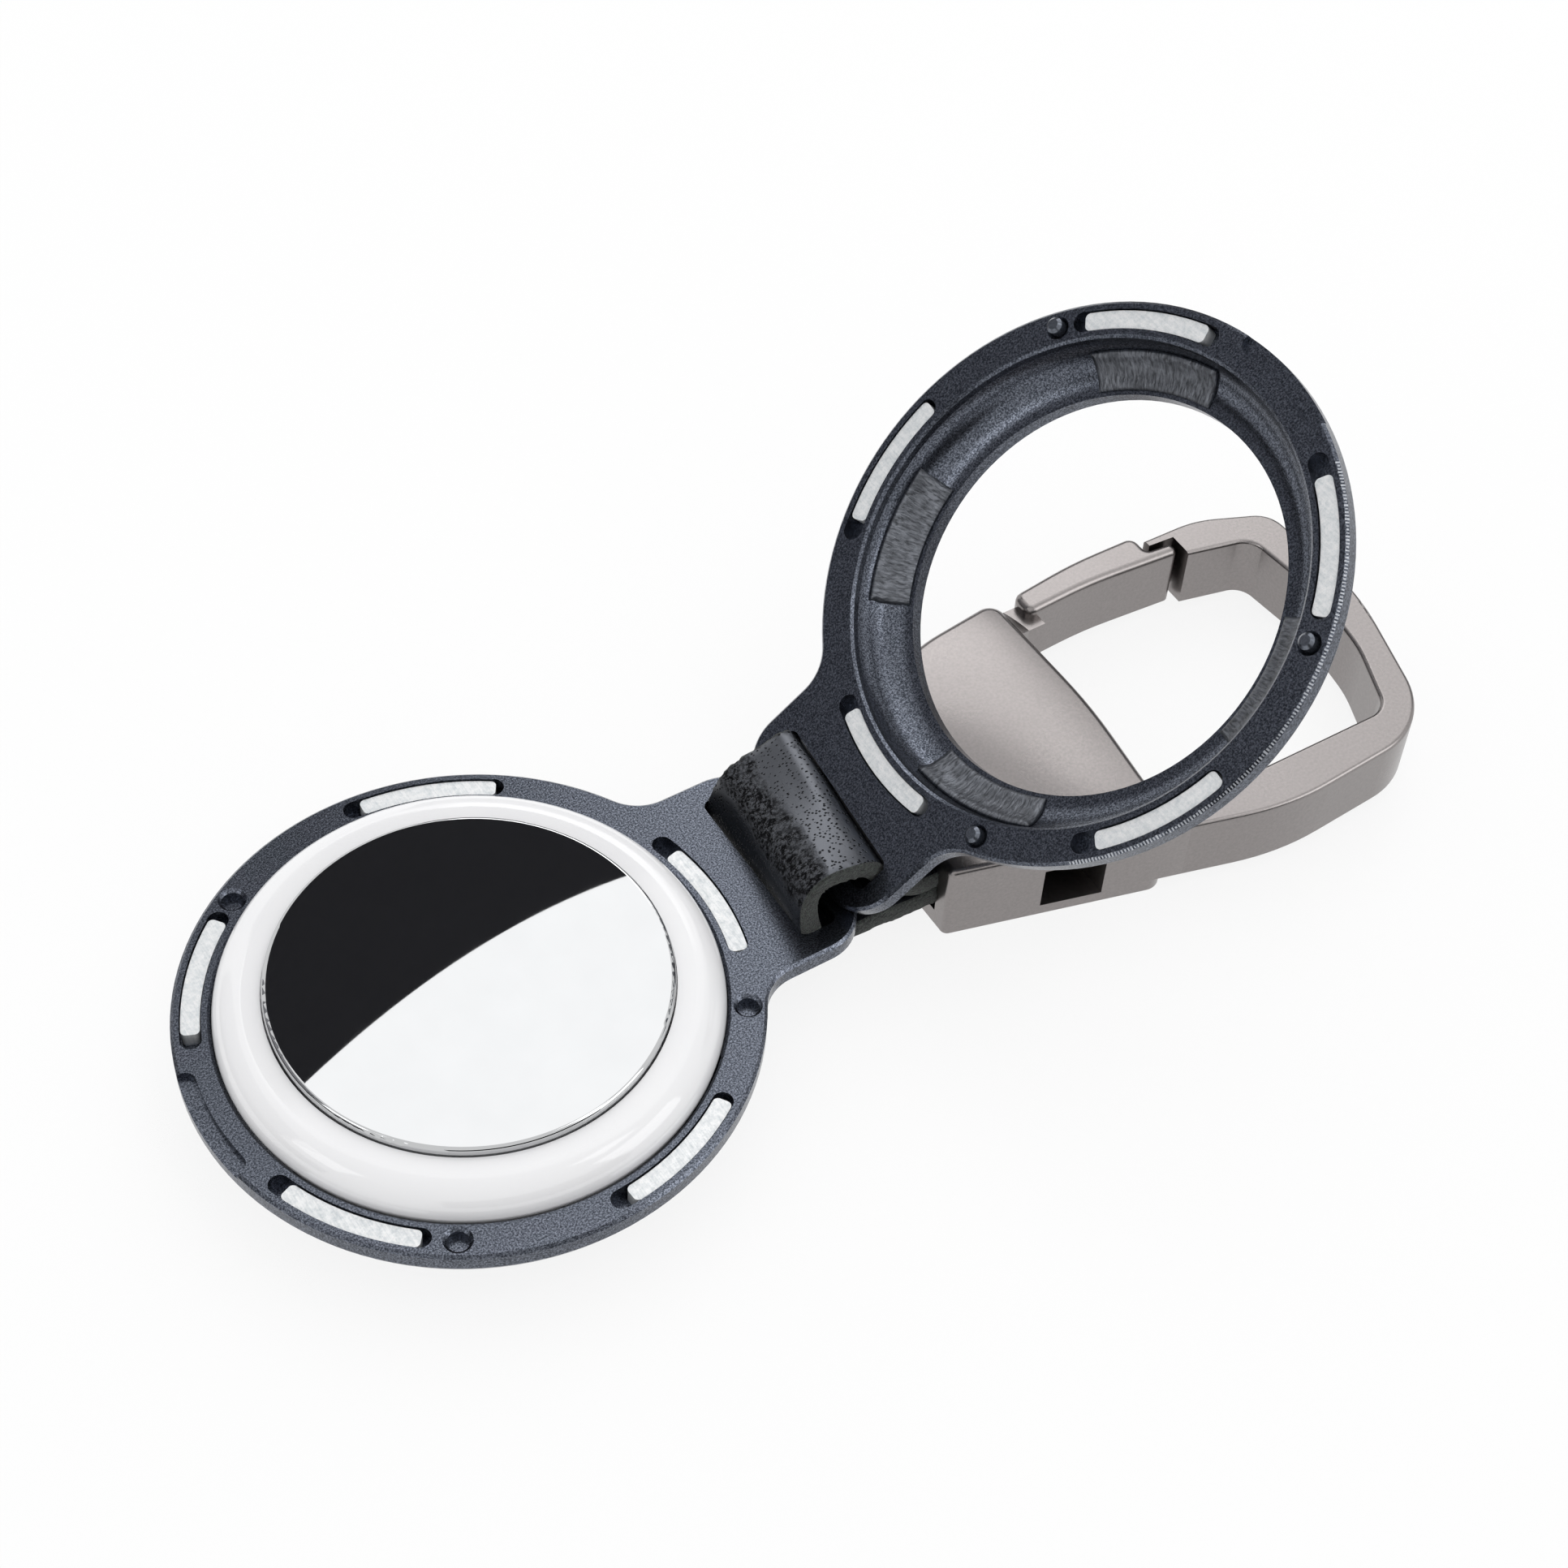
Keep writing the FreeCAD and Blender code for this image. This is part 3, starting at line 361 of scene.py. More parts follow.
# %% [markdown]
# Metal in a white room looks like white paint. Photographers set up grey and black flags, so that
# the metal has something dark to show and its sides part from its top. Four stand here, further
# off than the card, and again only gloss sees them.

# %% Flags
FLAGS = (  # name, colour, direction from the tag, then distance, width and height in metres
    ("grey_flag", "#98989c", (-0.65, 0.61, 0.45), 0.8, 0.8, 0.8),
    ("low_flag", BLACK, (-0.86, 0.50, 0.10), 0.78, 1.2, 0.34),
    ("right_flag", "#6c6c70", (0.78, 0.58, 0.16), 0.8, 1.0, 0.52),
    ("camera_flag", BLACK, (-0.09, -0.98, 0.17), 0.8, 1.1, 0.5))
for name, colour, direction, away, wide, tall in FLAGS:
    aim = Vector(direction).normalized()
    aside = aim.cross(Vector((0, 0, 1))).normalized() * (wide / 2)
    above = aside.cross(aim).normalized() * (tall / 2)
    gloss_card(name, colour, [aim * away + aside * a + above * b for a, b in SQUARE])
print("flags:", len(FLAGS))

# %% [markdown]
# The rings are aluminium, blasted with fine beads and anodised black. That gives a dark metal
# with a soft sheen and a fine sparkle, and the tool's bright line along each chamfer. The beads
# leave pits under 0.1 mm across. They are drawn a little coarser, so that they show.

# %% Aluminium, bead blasted and black anodised
ring_black, tree, shader = new_finish("aluminium_blasted_black_anodised")
place = on_piece(tree)
beads = noise_of(tree, place, 0.12, Detail=2.0, Roughness=0.7)
bath = noise_of(tree, place, 7)
sparkle = remap(tree, beads, 0.4, 0.66)
dress(shader, {"Base Color": tinted(tree, sparkle, "#363a42", "#777c87"),
               "Roughness": remap(tree, bath, to_low=0.2, to_high=0.28),
               "Normal": bumps(tree, beads, 0.5, 0.017 * MM),
               "Metallic": 0.95})
print("ring finish:", ring_black.name)

# %% [markdown]
# The magnets are pressed powder with a nickel plate, ground flat. The plate is bright and
# cloudy, with fine grinding lines, so two noises carry it: a round one for the clouds, and one
# stretched to lines.

# %% Nickel plate, ground
LINES_TURN = (0.0, 0.0, 0.6)
magnet_nickel, tree, shader = new_finish("nickel_plate_ground")
place = on_piece(tree)
cloud = noise_of(tree, place, 0.4, Detail=4.0, Roughness=0.8)
lines = noise_of(tree, stretched(tree, place, (0.11, 1.6, 0.5), Rotation=LINES_TURN), Detail=2.0)
spread = remap(tree, mixed(tree, 0.3, cloud, lines), 0.35, 0.65)
dress(shader, {"Base Color": tinted(tree, spread, "#ced4d7", "#fefefe"),
               "Roughness": remap(tree, spread, to_low=0.42, to_high=0.26),
               "Normal": bumps(tree, lines, 0.25, 0.02 * MM),
               "Metallic": 0.2})
print("magnet finish:", magnet_nickel.name)

# %% [markdown]
# The snap hook is a zinc casting, polished, plated in warm gunmetal and left satin. It shows
# soft, wide reflections with a fine grain, drawn coarser than it is so that it shows. The plate
# is thin, so the colour stays even. Polishing by hand takes more off near the edges, so the
# block's flat top reflects like a low dome. Its height falls with the fourth power of the
# distance from the block's middle, up to the edge.

# %% Zinc casting, satin gunmetal plate
CROWN_X, CROWN_HALF, CROWN_RISE = 38.8 * MM, (10.1 * MM, 14.2 * MM), 0.8 * MM
hook_metal, tree, shader = new_finish("zinc_satin_gunmetal_plate")
place = on_piece(tree)
grain = noise_of(tree, place, 0.2, Detail=3.0)
wander = noise_of(tree, place, 9)
from_middle = add(tree, "ShaderNodeMapping", {"Vector": place,
                                              "Location": (-CROWN_X / CROWN_HALF[0], 0.0, 0.0),
                                              "Scale": (1 / CROWN_HALF[0], 1 / CROWN_HALF[1], 0.0)})
squares = add(tree, "ShaderNodeVectorMath", {0: from_middle.outputs[0], 1: from_middle.outputs[0]},
              operation="MULTIPLY")
fall = add(tree, "ShaderNodeVectorMath", {0: squares.outputs[0], 1: squares.outputs[0]},
           operation="DOT_PRODUCT").outputs["Value"]
dome = remap(tree, fall, to_low=1.0, to_high=0.0)
crown = bumps(tree, dome, 1.0, CROWN_RISE)
shade = remap(tree, grain, 0.3, 0.7)
dress(shader, {"Base Color": tinted(tree, shade, "#888483", "#918c8b"),
               "Roughness": remap(tree, wander, to_low=0.24, to_high=0.32),
               "Normal": bumps(tree, grain, 0.08, 0.02 * MM, Normal=crown),
               "Metallic": 1.0})
print("hook finish:", hook_metal.name)

# %% [markdown]
# The tag is a moulded white shell with a gloss, and a cap of steel polished to a mirror. Both
# have hardly any pattern, but neither is perfect: the moulding has a faint ripple and the steel
# a faint polishing haze, which keep them from looking like paint.

# %% Gloss white polycarbonate and polished steel
tag_white, tree, shader = new_finish("polycarbonate_moulded_gloss_white")
ripple = noise_of(tree, on_piece(tree), 5)
dress(shader, {"Base Color": tinted(tree, ripple, "#f5f5f7", "#f9f9fa"),
               "Roughness": remap(tree, ripple, to_low=0.05, to_high=0.09),
               "IOR": 1.58})

tag_steel, tree, shader = new_finish("stainless_steel_mirror_polished")
haze = noise_of(tree, on_piece(tree), 3, Detail=4.0)
dress(shader, {"Base Color": tinted(tree, haze, "#c0c1c2", "#c6c7c8"),
               "Roughness": remap(tree, haze, to_low=0.006, to_high=0.014),
               "Metallic": 1.0})
print("tag finishes:", tag_white.name, tag_steel.name)

# %% [markdown]
# Pins, spring, coin cell and board sit inside or show only as small ends. They still get the
# finish they have in real life: blackened steel with a fine grain, plain cell steel, and green
# solder mask.

# %% Turned steel, cell steel and solder mask
pin_steel, tree, shader = new_finish("steel_turned_blackened")
grain = noise_of(tree, on_piece(tree), 0.15)
dress(shader, {"Base Color": tinted(tree, grain, "#4a4e56", "#7a7f88"),
               "Metallic": 0.9, "Roughness": 0.24})

cell_steel, tree, shader = new_finish("steel_pressed_nickelled")
pressed = noise_of(tree, on_piece(tree), 1.0)
dress(shader, {"Base Color": tinted(tree, pressed, "#b9bbbc", "#d2d4d5"),
               "Metallic": 1.0, "Roughness": 0.3})

board_green, tree, shader = new_finish("glass_epoxy_green_solder_mask")
copper = add(tree, "ShaderNodeTexVoronoi", {"Vector": on_piece(tree), "Scale": per_metre(1.2)},
             distance="MANHATTAN").outputs[0]
dress(shader, {"Base Color": tinted(tree, copper, "#1d4a2c", "#2c6a3e"), "Roughness": 0.35})
print("small finishes:", pin_steel.name, cell_steel.name, board_green.name)

# %% [markdown]
# The names of the solids say what they are made of, so a list of words is enough to hand the
# finishes out. The first word that fits counts: a pin of the gate is a pin, and a spring isn't a
# ring. The strap and the pads are left out here, because pieces of leather take their places.

# %% Give each solid its finish
FINISH_OF = {"magnet": magnet_nickel, "pin": pin_steel, "spring": pin_steel, "ring": ring_black,
             "hook_frame": hook_metal, "gate": hook_metal, "shell": tag_white, "cap": tag_steel,
             "cell": cell_steel, "board": board_green}
for name, solid in solids.items():
    words = [word for word in FINISH_OF if word in name]
    if words and "pad" not in name:
        solid.data.materials.clear()
        solid.data.materials.append(FINISH_OF[words[0]])
print("finished solids:", sum(bool(s.data.materials) for s in solids.values()))

# %% [markdown]
# The strap is one piece of leather. It runs out of the hook's block, under the base ring's end
# bar, up through both slots in a round arch and back into the block. The open cover stands a
# little askew and twists the arch, so two NURBS lines are drawn, one for each edge of the strap.

# %% Strap edge lines
ROUTE = (  # x and z of the near edge, then of the far edge, in mm
    (36.4, -2.75, 36.4, -2.75), (33.0, -2.75, 33.0, -2.75), (29.25, -2.85, 29.25, -2.85),
    (25.95, -2.3, 25.95, -2.3), (21.5, -2.5, 21.6, -2.5), (21.35, -0.2, 21.6, -0.2),
    (21.0, 1.3, 22.0, 1.2), (20.95, 3.2, 22.6, 2.1), (21.9, 4.35, 23.8, 2.6),
    (23.6, 4.2, 25.2, 2.95), (25.4, 3.65, 26.95, 3.55), (26.3, 2.4, 27.7, 2.2),
    (29.1, -1.15, 29.4, -1.15), (31.5, -1.22, 31.5, -1.22), (36.4, -1.22, 36.4, -1.22))
LINE_STEPS, LINE_ORDER = 14, 3


def smooth_line(corners):
    """Points on a NURBS line that runs round the corners, in metres."""
    curve = bpy.data.curves.new("strap_line", "CURVE")
    curve.dimensions = "3D"
    curve.resolution_u = LINE_STEPS
    spline = curve.splines.new("NURBS")
    spline.points.add(len(corners) - 1)
    for point, (x, z) in zip(spline.points, corners):
        point.co = (x * MM, 0, z * MM, 1)
    spline.order_u = LINE_ORDER
    spline.use_endpoint_u = True
    holder = bpy.data.objects.new("strap_line", curve)
    mesh = bpy.data.meshes.new_from_object(holder)
    points = [v.co.copy() for v in mesh.vertices]
    bpy.data.objects.remove(holder)
    bpy.data.meshes.remove(mesh)
    return points


near_line = smooth_line([row[:2] for row in ROUTE])
far_line = smooth_line([row[2:] for row in ROUTE])
steps = len(near_line)
print("strap lines:", steps, "points,",
      round(sum((b - a).length for a, b in zip(near_line, near_line[1:])) / MM, 1), "mm long")

# %% [markdown]
# A cut strap has two flat sides and two edges that are cut nearly square. The section below goes
# once round it, and marks the points of the edges, because they get a finish of their own.

# %% Strap section
WIDTH, THICK, EDGE_ROUND = 12.55 * MM, 1.5 * MM, 0.25 * MM
EDGE_CURVE, CORNER_LIFT = 0.9, 1.1  # how round the cut edges are, and how full their corners
FLAT_STEPS, EDGE_STEPS = 24, 8


def strap_section():
    """Points round the cut strap as (across, depth, is_edge), starting on the grain side."""
    points = []
    half_w, half_t = WIDTH / 2, THICK / 2
    for side in (1, -1):
        for i in range(FLAT_STEPS + 1):
            across = side * (half_w - EDGE_ROUND) * (2 * i / FLAT_STEPS - 1)
            points.append((across, side * half_t, 0))
        for i in range(1, EDGE_STEPS + 1):
            down = 1 - 2 * i / (EDGE_STEPS + 1)
            bulge = half_w - EDGE_ROUND * (1 - math.cos(math.pi / 2 * down)) * EDGE_CURVE
            lift = CORNER_LIFT if i in (1, EDGE_STEPS) else 1
            points.append((side * bulge, side * half_t * down * lift, 1))
    return points


section = strap_section()
ring = len(section)
print("strap section:", ring, "points")

# %% [markdown]
# The section is now carried along both lines at once. Leather that is pulled round a bend gets
# thinner, so the arch is thinner than the ends. Each point keeps its run, side and depth as an
# attribute, so that pores and fibres follow the leather round the bend. It also keeps how sharply
# the leather bends there, and how much it shines: the arch's top, which hands rub, shines most,
# and the duller lower walls are painted shade.

# %% Strap mesh
THINNER, ARCH_FROM, ARCH_RISE = 0.2 * MM, -1.0 * MM, 2.5 * MM
WAVER, WAVER_SIZE, WAVER_ASIDE = 0.06 * MM, (2.1 * MM, 4 * MM, 0.8 * MM), 0.7
FRAY, FRAY_SIZE, FRAY_DEEP = 0.16 * MM, (0.5 * MM, 100 / 9 * MM, 0.4 * MM), 0.6
LOOK, BEND_PLAIN, BEND_CRACKED, CRACKED_TO = 5, 0.9, 1.7, 23.5 * MM
# shine is kept low on the lower walls as painted shade, and rises to full on the rubbed top
DULL, RUB_AND_SHADE_FROM, RUB_AND_SHADE_RISE = 0.18, 1.4 * MM, 1.8 * MM


def way_at(line, i):
    """The direction of a line at its point i."""
    return (line[min(i + 1, steps - 1)] - line[max(i - 1, 0)]).normalized()


def part_of(value, start, rise):
    """How much of the rise after start a value has made, from 0 to 1."""
    return min(max((value - start) / rise, 0.0), 1.0)


def uneven_at(spot, sizes):
    """A noise with details of these sizes along the three directions."""
    return noise.noise(Vector([value / size for value, size in zip(spot, sizes)]))


places, runs, bends, rub_and_shade = [], [], [], []
run = 0.0
for i, (near, far) in enumerate(zip(near_line, far_line)):
    run += (near - near_line[i - 1]).length if i else 0.0
    near_way, far_way = way_at(near_line, i), way_at(far_line, i)
    arch = part_of(near.z, ARCH_FROM, ARCH_RISE)
    bend = sum(way_at(line, max(i - LOOK, 0)).angle(way_at(line, min(i + LOOK, steps - 1)))
               for line in (near_line, far_line)) / 2
    bend *= BEND_PLAIN + BEND_CRACKED * arch * (near.x < CRACKED_TO)
    for across, depth, is_edge in section:
        share = across / WIDTH + 0.5
        way = near_way.lerp(far_way, share).normalized()
        out = Vector((way.z, 0, -way.x))
        waver = uneven_at((run, across, depth), WAVER_SIZE) * WAVER
        fray = uneven_at((run, across, depth), FRAY_SIZE) * FRAY * is_edge
        lift = depth * (1 - THINNER / THICK * arch) + waver * (1 - is_edge) + fray * FRAY_DEEP
        aside = across + math.copysign(fray + waver * WAVER_ASIDE, across)
        places.append(near.lerp(far, share) + out * lift + Vector((0, aside, 0)))
        runs += [run, across, depth]
        bends.append(bend)
        # less shine low down: painted shade on the walls, and rubbing on the top
        rub_and_shade.append(DULL + (1 - DULL) * part_of(places[-1].z, RUB_AND_SHADE_FROM, RUB_AND_SHADE_RISE))
faces = [(i * ring + j, i * ring + (j + 1) % ring, (i + 1) * ring + (j + 1) % ring, (i + 1) * ring + j)
         for i in range(steps - 1) for j in range(ring)]
faces += [tuple(reversed(range(ring))), tuple((steps - 1) * ring + j for j in range(ring))]
strap_mesh = bpy.data.meshes.new("leather_strap")
strap_mesh.from_pydata(places, [], faces)
strap_mesh.attributes.new("strap_run", "FLOAT_VECTOR", "POINT").data.foreach_set("vector", runs)
strap_mesh.attributes.new("strap_bend", "FLOAT", "POINT").data.foreach_set("value", bends)
strap_mesh.attributes.new("strap_rub_and_shade", "FLOAT", "POINT").data.foreach_set("value", rub_and_shade)
print("strap mesh:", len(places), "points,", len(faces), "faces; sharpest bend", round(max(bends), 2))

# %% [markdown]
# The strap's grain side is black, waxed and full of small pores. Where it bends sharply the wax
# has cracked to a rough crust, so the finish goes over from pores to a crackle with the bend that
# each point keeps. Pores are near 0.1 mm in real leather and drawn coarser here, so that they show.

# %% Leather, black waxed grain
PATCH_SHARE = 0.9  # how much the crust's border wanders
strap_grain, tree, shader = new_finish("cowhide_black_waxed_grain")
run_at = kept(tree, "strap_run", "Vector")
pore_at = stretched(tree, run_at, (0.29, 0.24, 2.0))
pore = add(tree, "ShaderNodeTexVoronoi", {"Vector": pore_at, "Scale": 1.0, "Randomness": 1.0})
pores = remap(tree, pore.outputs["Distance"], 0.17, 0.32)
crackle = remap(tree, noise_of(tree, run_at, 0.21, Detail=3.0, Roughness=0.7), 0.46, 0.66)
patch = noise_of(tree, run_at, 1.1, Detail=3.0)
tired = sum_of(tree, "MULTIPLY_ADD", patch, PATCH_SHARE, kept(tree, "strap_bend", "Fac"))
tired = remap(tree, tired, 1.14, 1.48)
skin = mixed(tree, tired, pores, crackle)
# the shine is cut on the lower walls as painted shade
shine = sum_of(tree, "MULTIPLY", remap(tree, skin, to_low=0.05), kept(tree, "strap_rub_and_shade", "Fac"))
dress(shader, {"Base Color": tinted(tree, skin, "#040405", "#121417"),
               "Roughness": remap(tree, tired, to_low=0.33, to_high=0.42),
               "Normal": bumps(tree, skin, 0.8, 0.07 * MM),
               "Specular IOR Level": shine, "IOR": 1.7, "Specular Tint": linear("#dfe4f0")})
print("strap finish:", strap_grain.name)

# %% [markdown]
# The cut edges are raw and show grey-green fibres. They have no wax, so they are dull and a
# little furry: a rough noise for the fibres, deep bumps, no gloss and a touch of sheen.

# %% Leather, raw cut edge
strap_edge, tree, shader = new_finish("cowhide_raw_cut_edge")
fibre_at = stretched(tree, kept(tree, "strap_run", "Vector"), (0.2, 0.18, 0.14))
fibre = noise_of(tree, fibre_at, Detail=5.0, Roughness=0.7)
dress(shader, {"Base Color": tinted(tree, remap(tree, fibre, 0.42, 0.66), "#070909", "#465049"),
               "Normal": bumps(tree, fibre, 1.0, 0.3 * MM),
               "Roughness": 0.9, "Sheen Weight": 0.2})
print("edge finish:", strap_edge.name)

# %% [markdown]
# The strap takes the place of its plain CAD solid. One end belongs to the base and the other to
# the hook.

# %% Put the strap in its frame
QUAD = 4  # corners of every face but the strap's two ends, which are cut like its edges
strap_mesh.materials.append(strap_grain)
strap_mesh.materials.append(strap_edge)
for face in strap_mesh.polygons:
    face.use_smooth = True
    corners = [section[v % ring][2] for v in face.vertices]
    is_end = len(corners) > QUAD
    face.material_index = 1 if is_end or sum(corners) >= QUAD / 2 else 0
strap = bpy.data.objects.new("leather_strap", strap_mesh)
bpy.context.scene.collection.objects.link(strap)
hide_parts("strap")
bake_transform(strap)
print("strap edge faces:", sum(f.material_index for f in strap_mesh.polygons))

# %% [markdown]
# The cover is the same ring as the base, turned over and swung open on the strap. What lies on it
# is built flat, as if on the base, and then moved by the cover's pose: turned over, lifted by the
# gap between the rings, and swung about the hinge. The hinge is skewed, as the leather lets it.

# %% Cover pose
HINGE = Vector((24.45, 0, 0.88)) * MM
SKEW, OPEN, GAP = math.radians(2.35), math.radians(138.8), 0.28 * MM
hinge_axis = Vector((math.sin(SKEW), math.cos(SKEW), 0))
cover_pose = (Matrix.Translation(HINGE) @ Matrix.Rotation(OPEN, 4, hinge_axis)
              @ Matrix.Translation(Vector((0, 0, GAP)) - HINGE) @ Matrix.Rotation(math.pi, 4, "X"))
print("cover centre in mm:", [round(v / MM, 2) for v in cover_pose.translation])

# %% [markdown]
# Two small things repeat: the marks that a tool left on the cover's rim, and the turns of the
# gate's spring. Geometry Nodes lay such things out from a few sizes. Each tree has its sizes as
# inputs, and its result is kept as a plain mesh, so that it exports like any other piece.

# %% Helpers for Geometry Nodes
def sized_tree(name, sizes):
    """A Geometry Nodes tree with one input for each size: the tree, its inputs and their keys."""
    tree = bpy.data.node_groups.new(name, "GeometryNodeTree")
    keys = {n: tree.interface.new_socket(n, in_out="INPUT", socket_type="NodeSocketFloat").identifier
            for n in sizes}
    tree.interface.new_socket("Pieces", in_out="OUTPUT", socket_type="NodeSocketGeometry")
    return tree, add(tree, "NodeGroupInput").outputs, keys


def grown_mesh(piece, tree, keys, sizes, finish):
    """The plain mesh that the tree makes with these sizes, all in one finish."""
    layout = piece.modifiers.new("layout", "NODES")
    layout.node_group = tree
    for n, value in sizes.items():
        layout[keys[n]] = value
    view = bpy.context.evaluated_depsgraph_get()
    mesh = bpy.data.meshes.new_from_object(piece.evaluated_get(view))
    piece.modifiers.remove(layout)
    mesh.materials.clear()
    mesh.materials.append(finish)
    for face in mesh.polygons:
        face.material_index = 0
    return mesh


print("layout helpers:", sized_tree.__name__, grown_mesh.__name__)

# %% [markdown]
# The deburring tool chattered on the cover's rim and left a row of small marks on the
# chamfer. Their brightness is partly bare metal, where the tool cut through the black, and partly
# a painted glint. They repeat along an arc: points at an even pitch, and one small bar on each,
# leaned over to the chamfer. The pitch is near 0.22 mm, as it is in the photograph.

# %% Chatter marks
MARK_SIZES = {"Radius": 18.4 * MM, "Drop": -0.1 * MM, "Pitch": 0.22 * MM,
              "Start": math.radians(54), "Sweep": math.radians(104), "Lean": math.radians(45),
              "Length": 0.3 * MM, "Width": 0.11 * MM, "Depth": 0.08 * MM}
ARC_STEPS, BAR_FACES, MARK_SEED = 96, 6, 7
LEAST, MOST = (0.45, 0.7, 0.8), (1.0, 1.2, 1.0)  # shares of a bar's size, as the tool jumped

# bare cut metal, made brighter still as a painted glint
bare_cut_and_glint, tree, shader = new_finish("aluminium_bare_cut_painted_glint")
cut = noise_of(tree, on_piece(tree), 0.3)
dress(shader, {"Base Color": tinted(tree, cut, "#8a8e96", "#d4d8de"),
               "Metallic": 0.5, "Roughness": 0.35})

tree, size, mark_keys = sized_tree("chatter_marks", MARK_SIZES)
arc = add(tree, "GeometryNodeCurveArc", {"Resolution": ARC_STEPS, "Radius": size["Radius"],
                                         "Start Angle": size["Start"], "Sweep Angle": size["Sweep"]})
dots = add(tree, "GeometryNodeCurveToPoints", {"Curve": arc.outputs["Curve"], "Length": size["Pitch"]},
           mode="LENGTH")
at = add(tree, "ShaderNodeSeparateXYZ", {0: add(tree, "GeometryNodeInputPosition").outputs[0]})
angle = sum_of(tree, "ARCTAN2", at.outputs["Y"], at.outputs["X"])
lean = add(tree, "ShaderNodeCombineXYZ", {"Y": size["Lean"], "Z": angle})
turn = add(tree, "FunctionNodeEulerToRotation", {0: lean.outputs[0]})
bar_size = add(tree, "ShaderNodeCombineXYZ", {"X": size["Length"], "Y": size["Width"],
                                              "Z": size["Depth"]})
bar = add(tree, "GeometryNodeMeshCube", {"Size": bar_size.outputs[0]})
uneven = add(tree, "FunctionNodeRandomValue", {"Min": LEAST, "Max": MOST, "Seed": MARK_SEED},
             data_type="FLOAT_VECTOR")
bars = add(tree, "GeometryNodeInstanceOnPoints",
           {"Points": dots.outputs["Points"], "Instance": bar.outputs["Mesh"],
            "Rotation": turn.outputs[0], "Scale": uneven.outputs[0]})
whole = add(tree, "GeometryNodeRealizeInstances", {"Geometry": bars.outputs[0]})
down = add(tree, "ShaderNodeCombineXYZ", {"Z": size["Drop"]})
moved = add(tree, "GeometryNodeTransform", {"Geometry": whole.outputs[0],
                                            "Translation": down.outputs[0]})
add(tree, "NodeGroupOutput", {"Pieces": moved.outputs[0]})

marks = bpy.data.objects.new("cover_chatter_marks", bpy.data.meshes.new("empty"))
bpy.context.scene.collection.objects.link(marks)
marks.data = grown_mesh(marks, tree, mark_keys, MARK_SIZES, bare_cut_and_glint)
marks.data.transform(cover_pose)
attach(marks, "cover")
print("chatter marks:", len(marks.data.polygons) // BAR_FACES, "bars")

# %% [markdown]
# The gate's spring lies in a bore of the block and shows only in the gap beside the gate. The
# CAD coil is stiff, and the gate's lug would cut into it. This coil stands for it: a round wire is
# carried along a spiral.

# %% Gate spring
spring_low, spring_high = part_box("gate_spring")
WIRE, TURNS, PRESSED = 0.3 * MM, 5.0, 0.82
TURN_STEPS, WIRE_STEPS = 28, 12
SPRING_SIZES = {"Wire": WIRE / 2, "Coil": (spring_high.y - spring_low.y - WIRE) / 2,
                "Length": spring_high.x - spring_low.x - WIRE, "Turns": TURNS}
tree, size, spring_keys = sized_tree("gate_spring_coil", SPRING_SIZES)
spiral = add(tree, "GeometryNodeCurveSpiral",
             {"Resolution": TURN_STEPS, "Rotations": size["Turns"], "Start Radius": size["Coil"],
              "End Radius": size["Coil"], "Height": size["Length"]})
wire = add(tree, "GeometryNodeCurvePrimitiveCircle", {"Resolution": WIRE_STEPS, "Radius": size["Wire"]})
coil = add(tree, "GeometryNodeCurveToMesh", {"Curve": spiral.outputs[0],
                                             "Profile Curve": wire.outputs[0], "Fill Caps": True})
add(tree, "NodeGroupOutput", {"Pieces": coil.outputs[0]})

spring = bpy.data.objects.new("gate_spring_coil", bpy.data.meshes.new("empty"))
bpy.context.scene.collection.objects.link(spring)
spring.data = grown_mesh(spring, tree, spring_keys, SPRING_SIZES, pin_steel)
spring_mid = (spring_low + spring_high) / 2
spring_end = Vector((spring_low.x, spring_mid.y, spring_mid.z))
spring.data.transform(Matrix.Translation(spring_end + Vector((WIRE / 2, 0, 0)))
                      @ Matrix.Rotation(math.pi / 2, 4, "Y"))
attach(spring, "hook")
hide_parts("gate_spring")
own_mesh(spring)
print("spring coil:", len(spring.data.polygons), "faces, pressed to", PRESSED, "of its length")

# %% [markdown]
# Four thin leather pads are glued on each ring's round seat and keep the tag from rattling. They
# are skiver, split leather that crinkles when it is pressed into a hollow. The crinkles run across
# the pad, and their tops are rubbed, so a stretched noise gives both the bumps and the wear.

# %% Leather, pad skiver
pad_leather, tree, shader = new_finish("skiver_black_crinkled")
run_at = kept(tree, "pad_run", "Vector")
crinkle = noise_of(tree, stretched(tree, run_at, (0.16, 0.7, METRE)),
                   Detail=4.0, Roughness=0.6, Distortion=0.3)
worn = noise_of(tree, run_at, 1.8, Detail=3.0)
spread = remap(tree, crinkle, 0.32, 0.68)
rubbed = sum_of(tree, "MULTIPLY", spread, worn)
dress(shader, {"Base Color": tinted(tree, rubbed, "#0b0c0e", "#33373c"),
               "Roughness": remap(tree, spread, to_low=0.46, to_high=0.3),
               "Normal": bumps(tree, crinkle, 1.0, 0.09 * MM),
               "Specular IOR Level": remap(tree, rubbed, 0.0, 0.45, 0.3, 1.0),
               "IOR": 2.0, "Specular Tint": linear("#e2e7f2")})
print("pad finish:", pad_leather.name)

# %% [markdown]
# A pad is a strip bent two ways at once, so it is built in the ring's own frame from an angle
# round the ring and an angle round the seat's hollow. Its skin is crowned and crinkled, its cut
# ends waver a little, and its edges thin out to the glue.

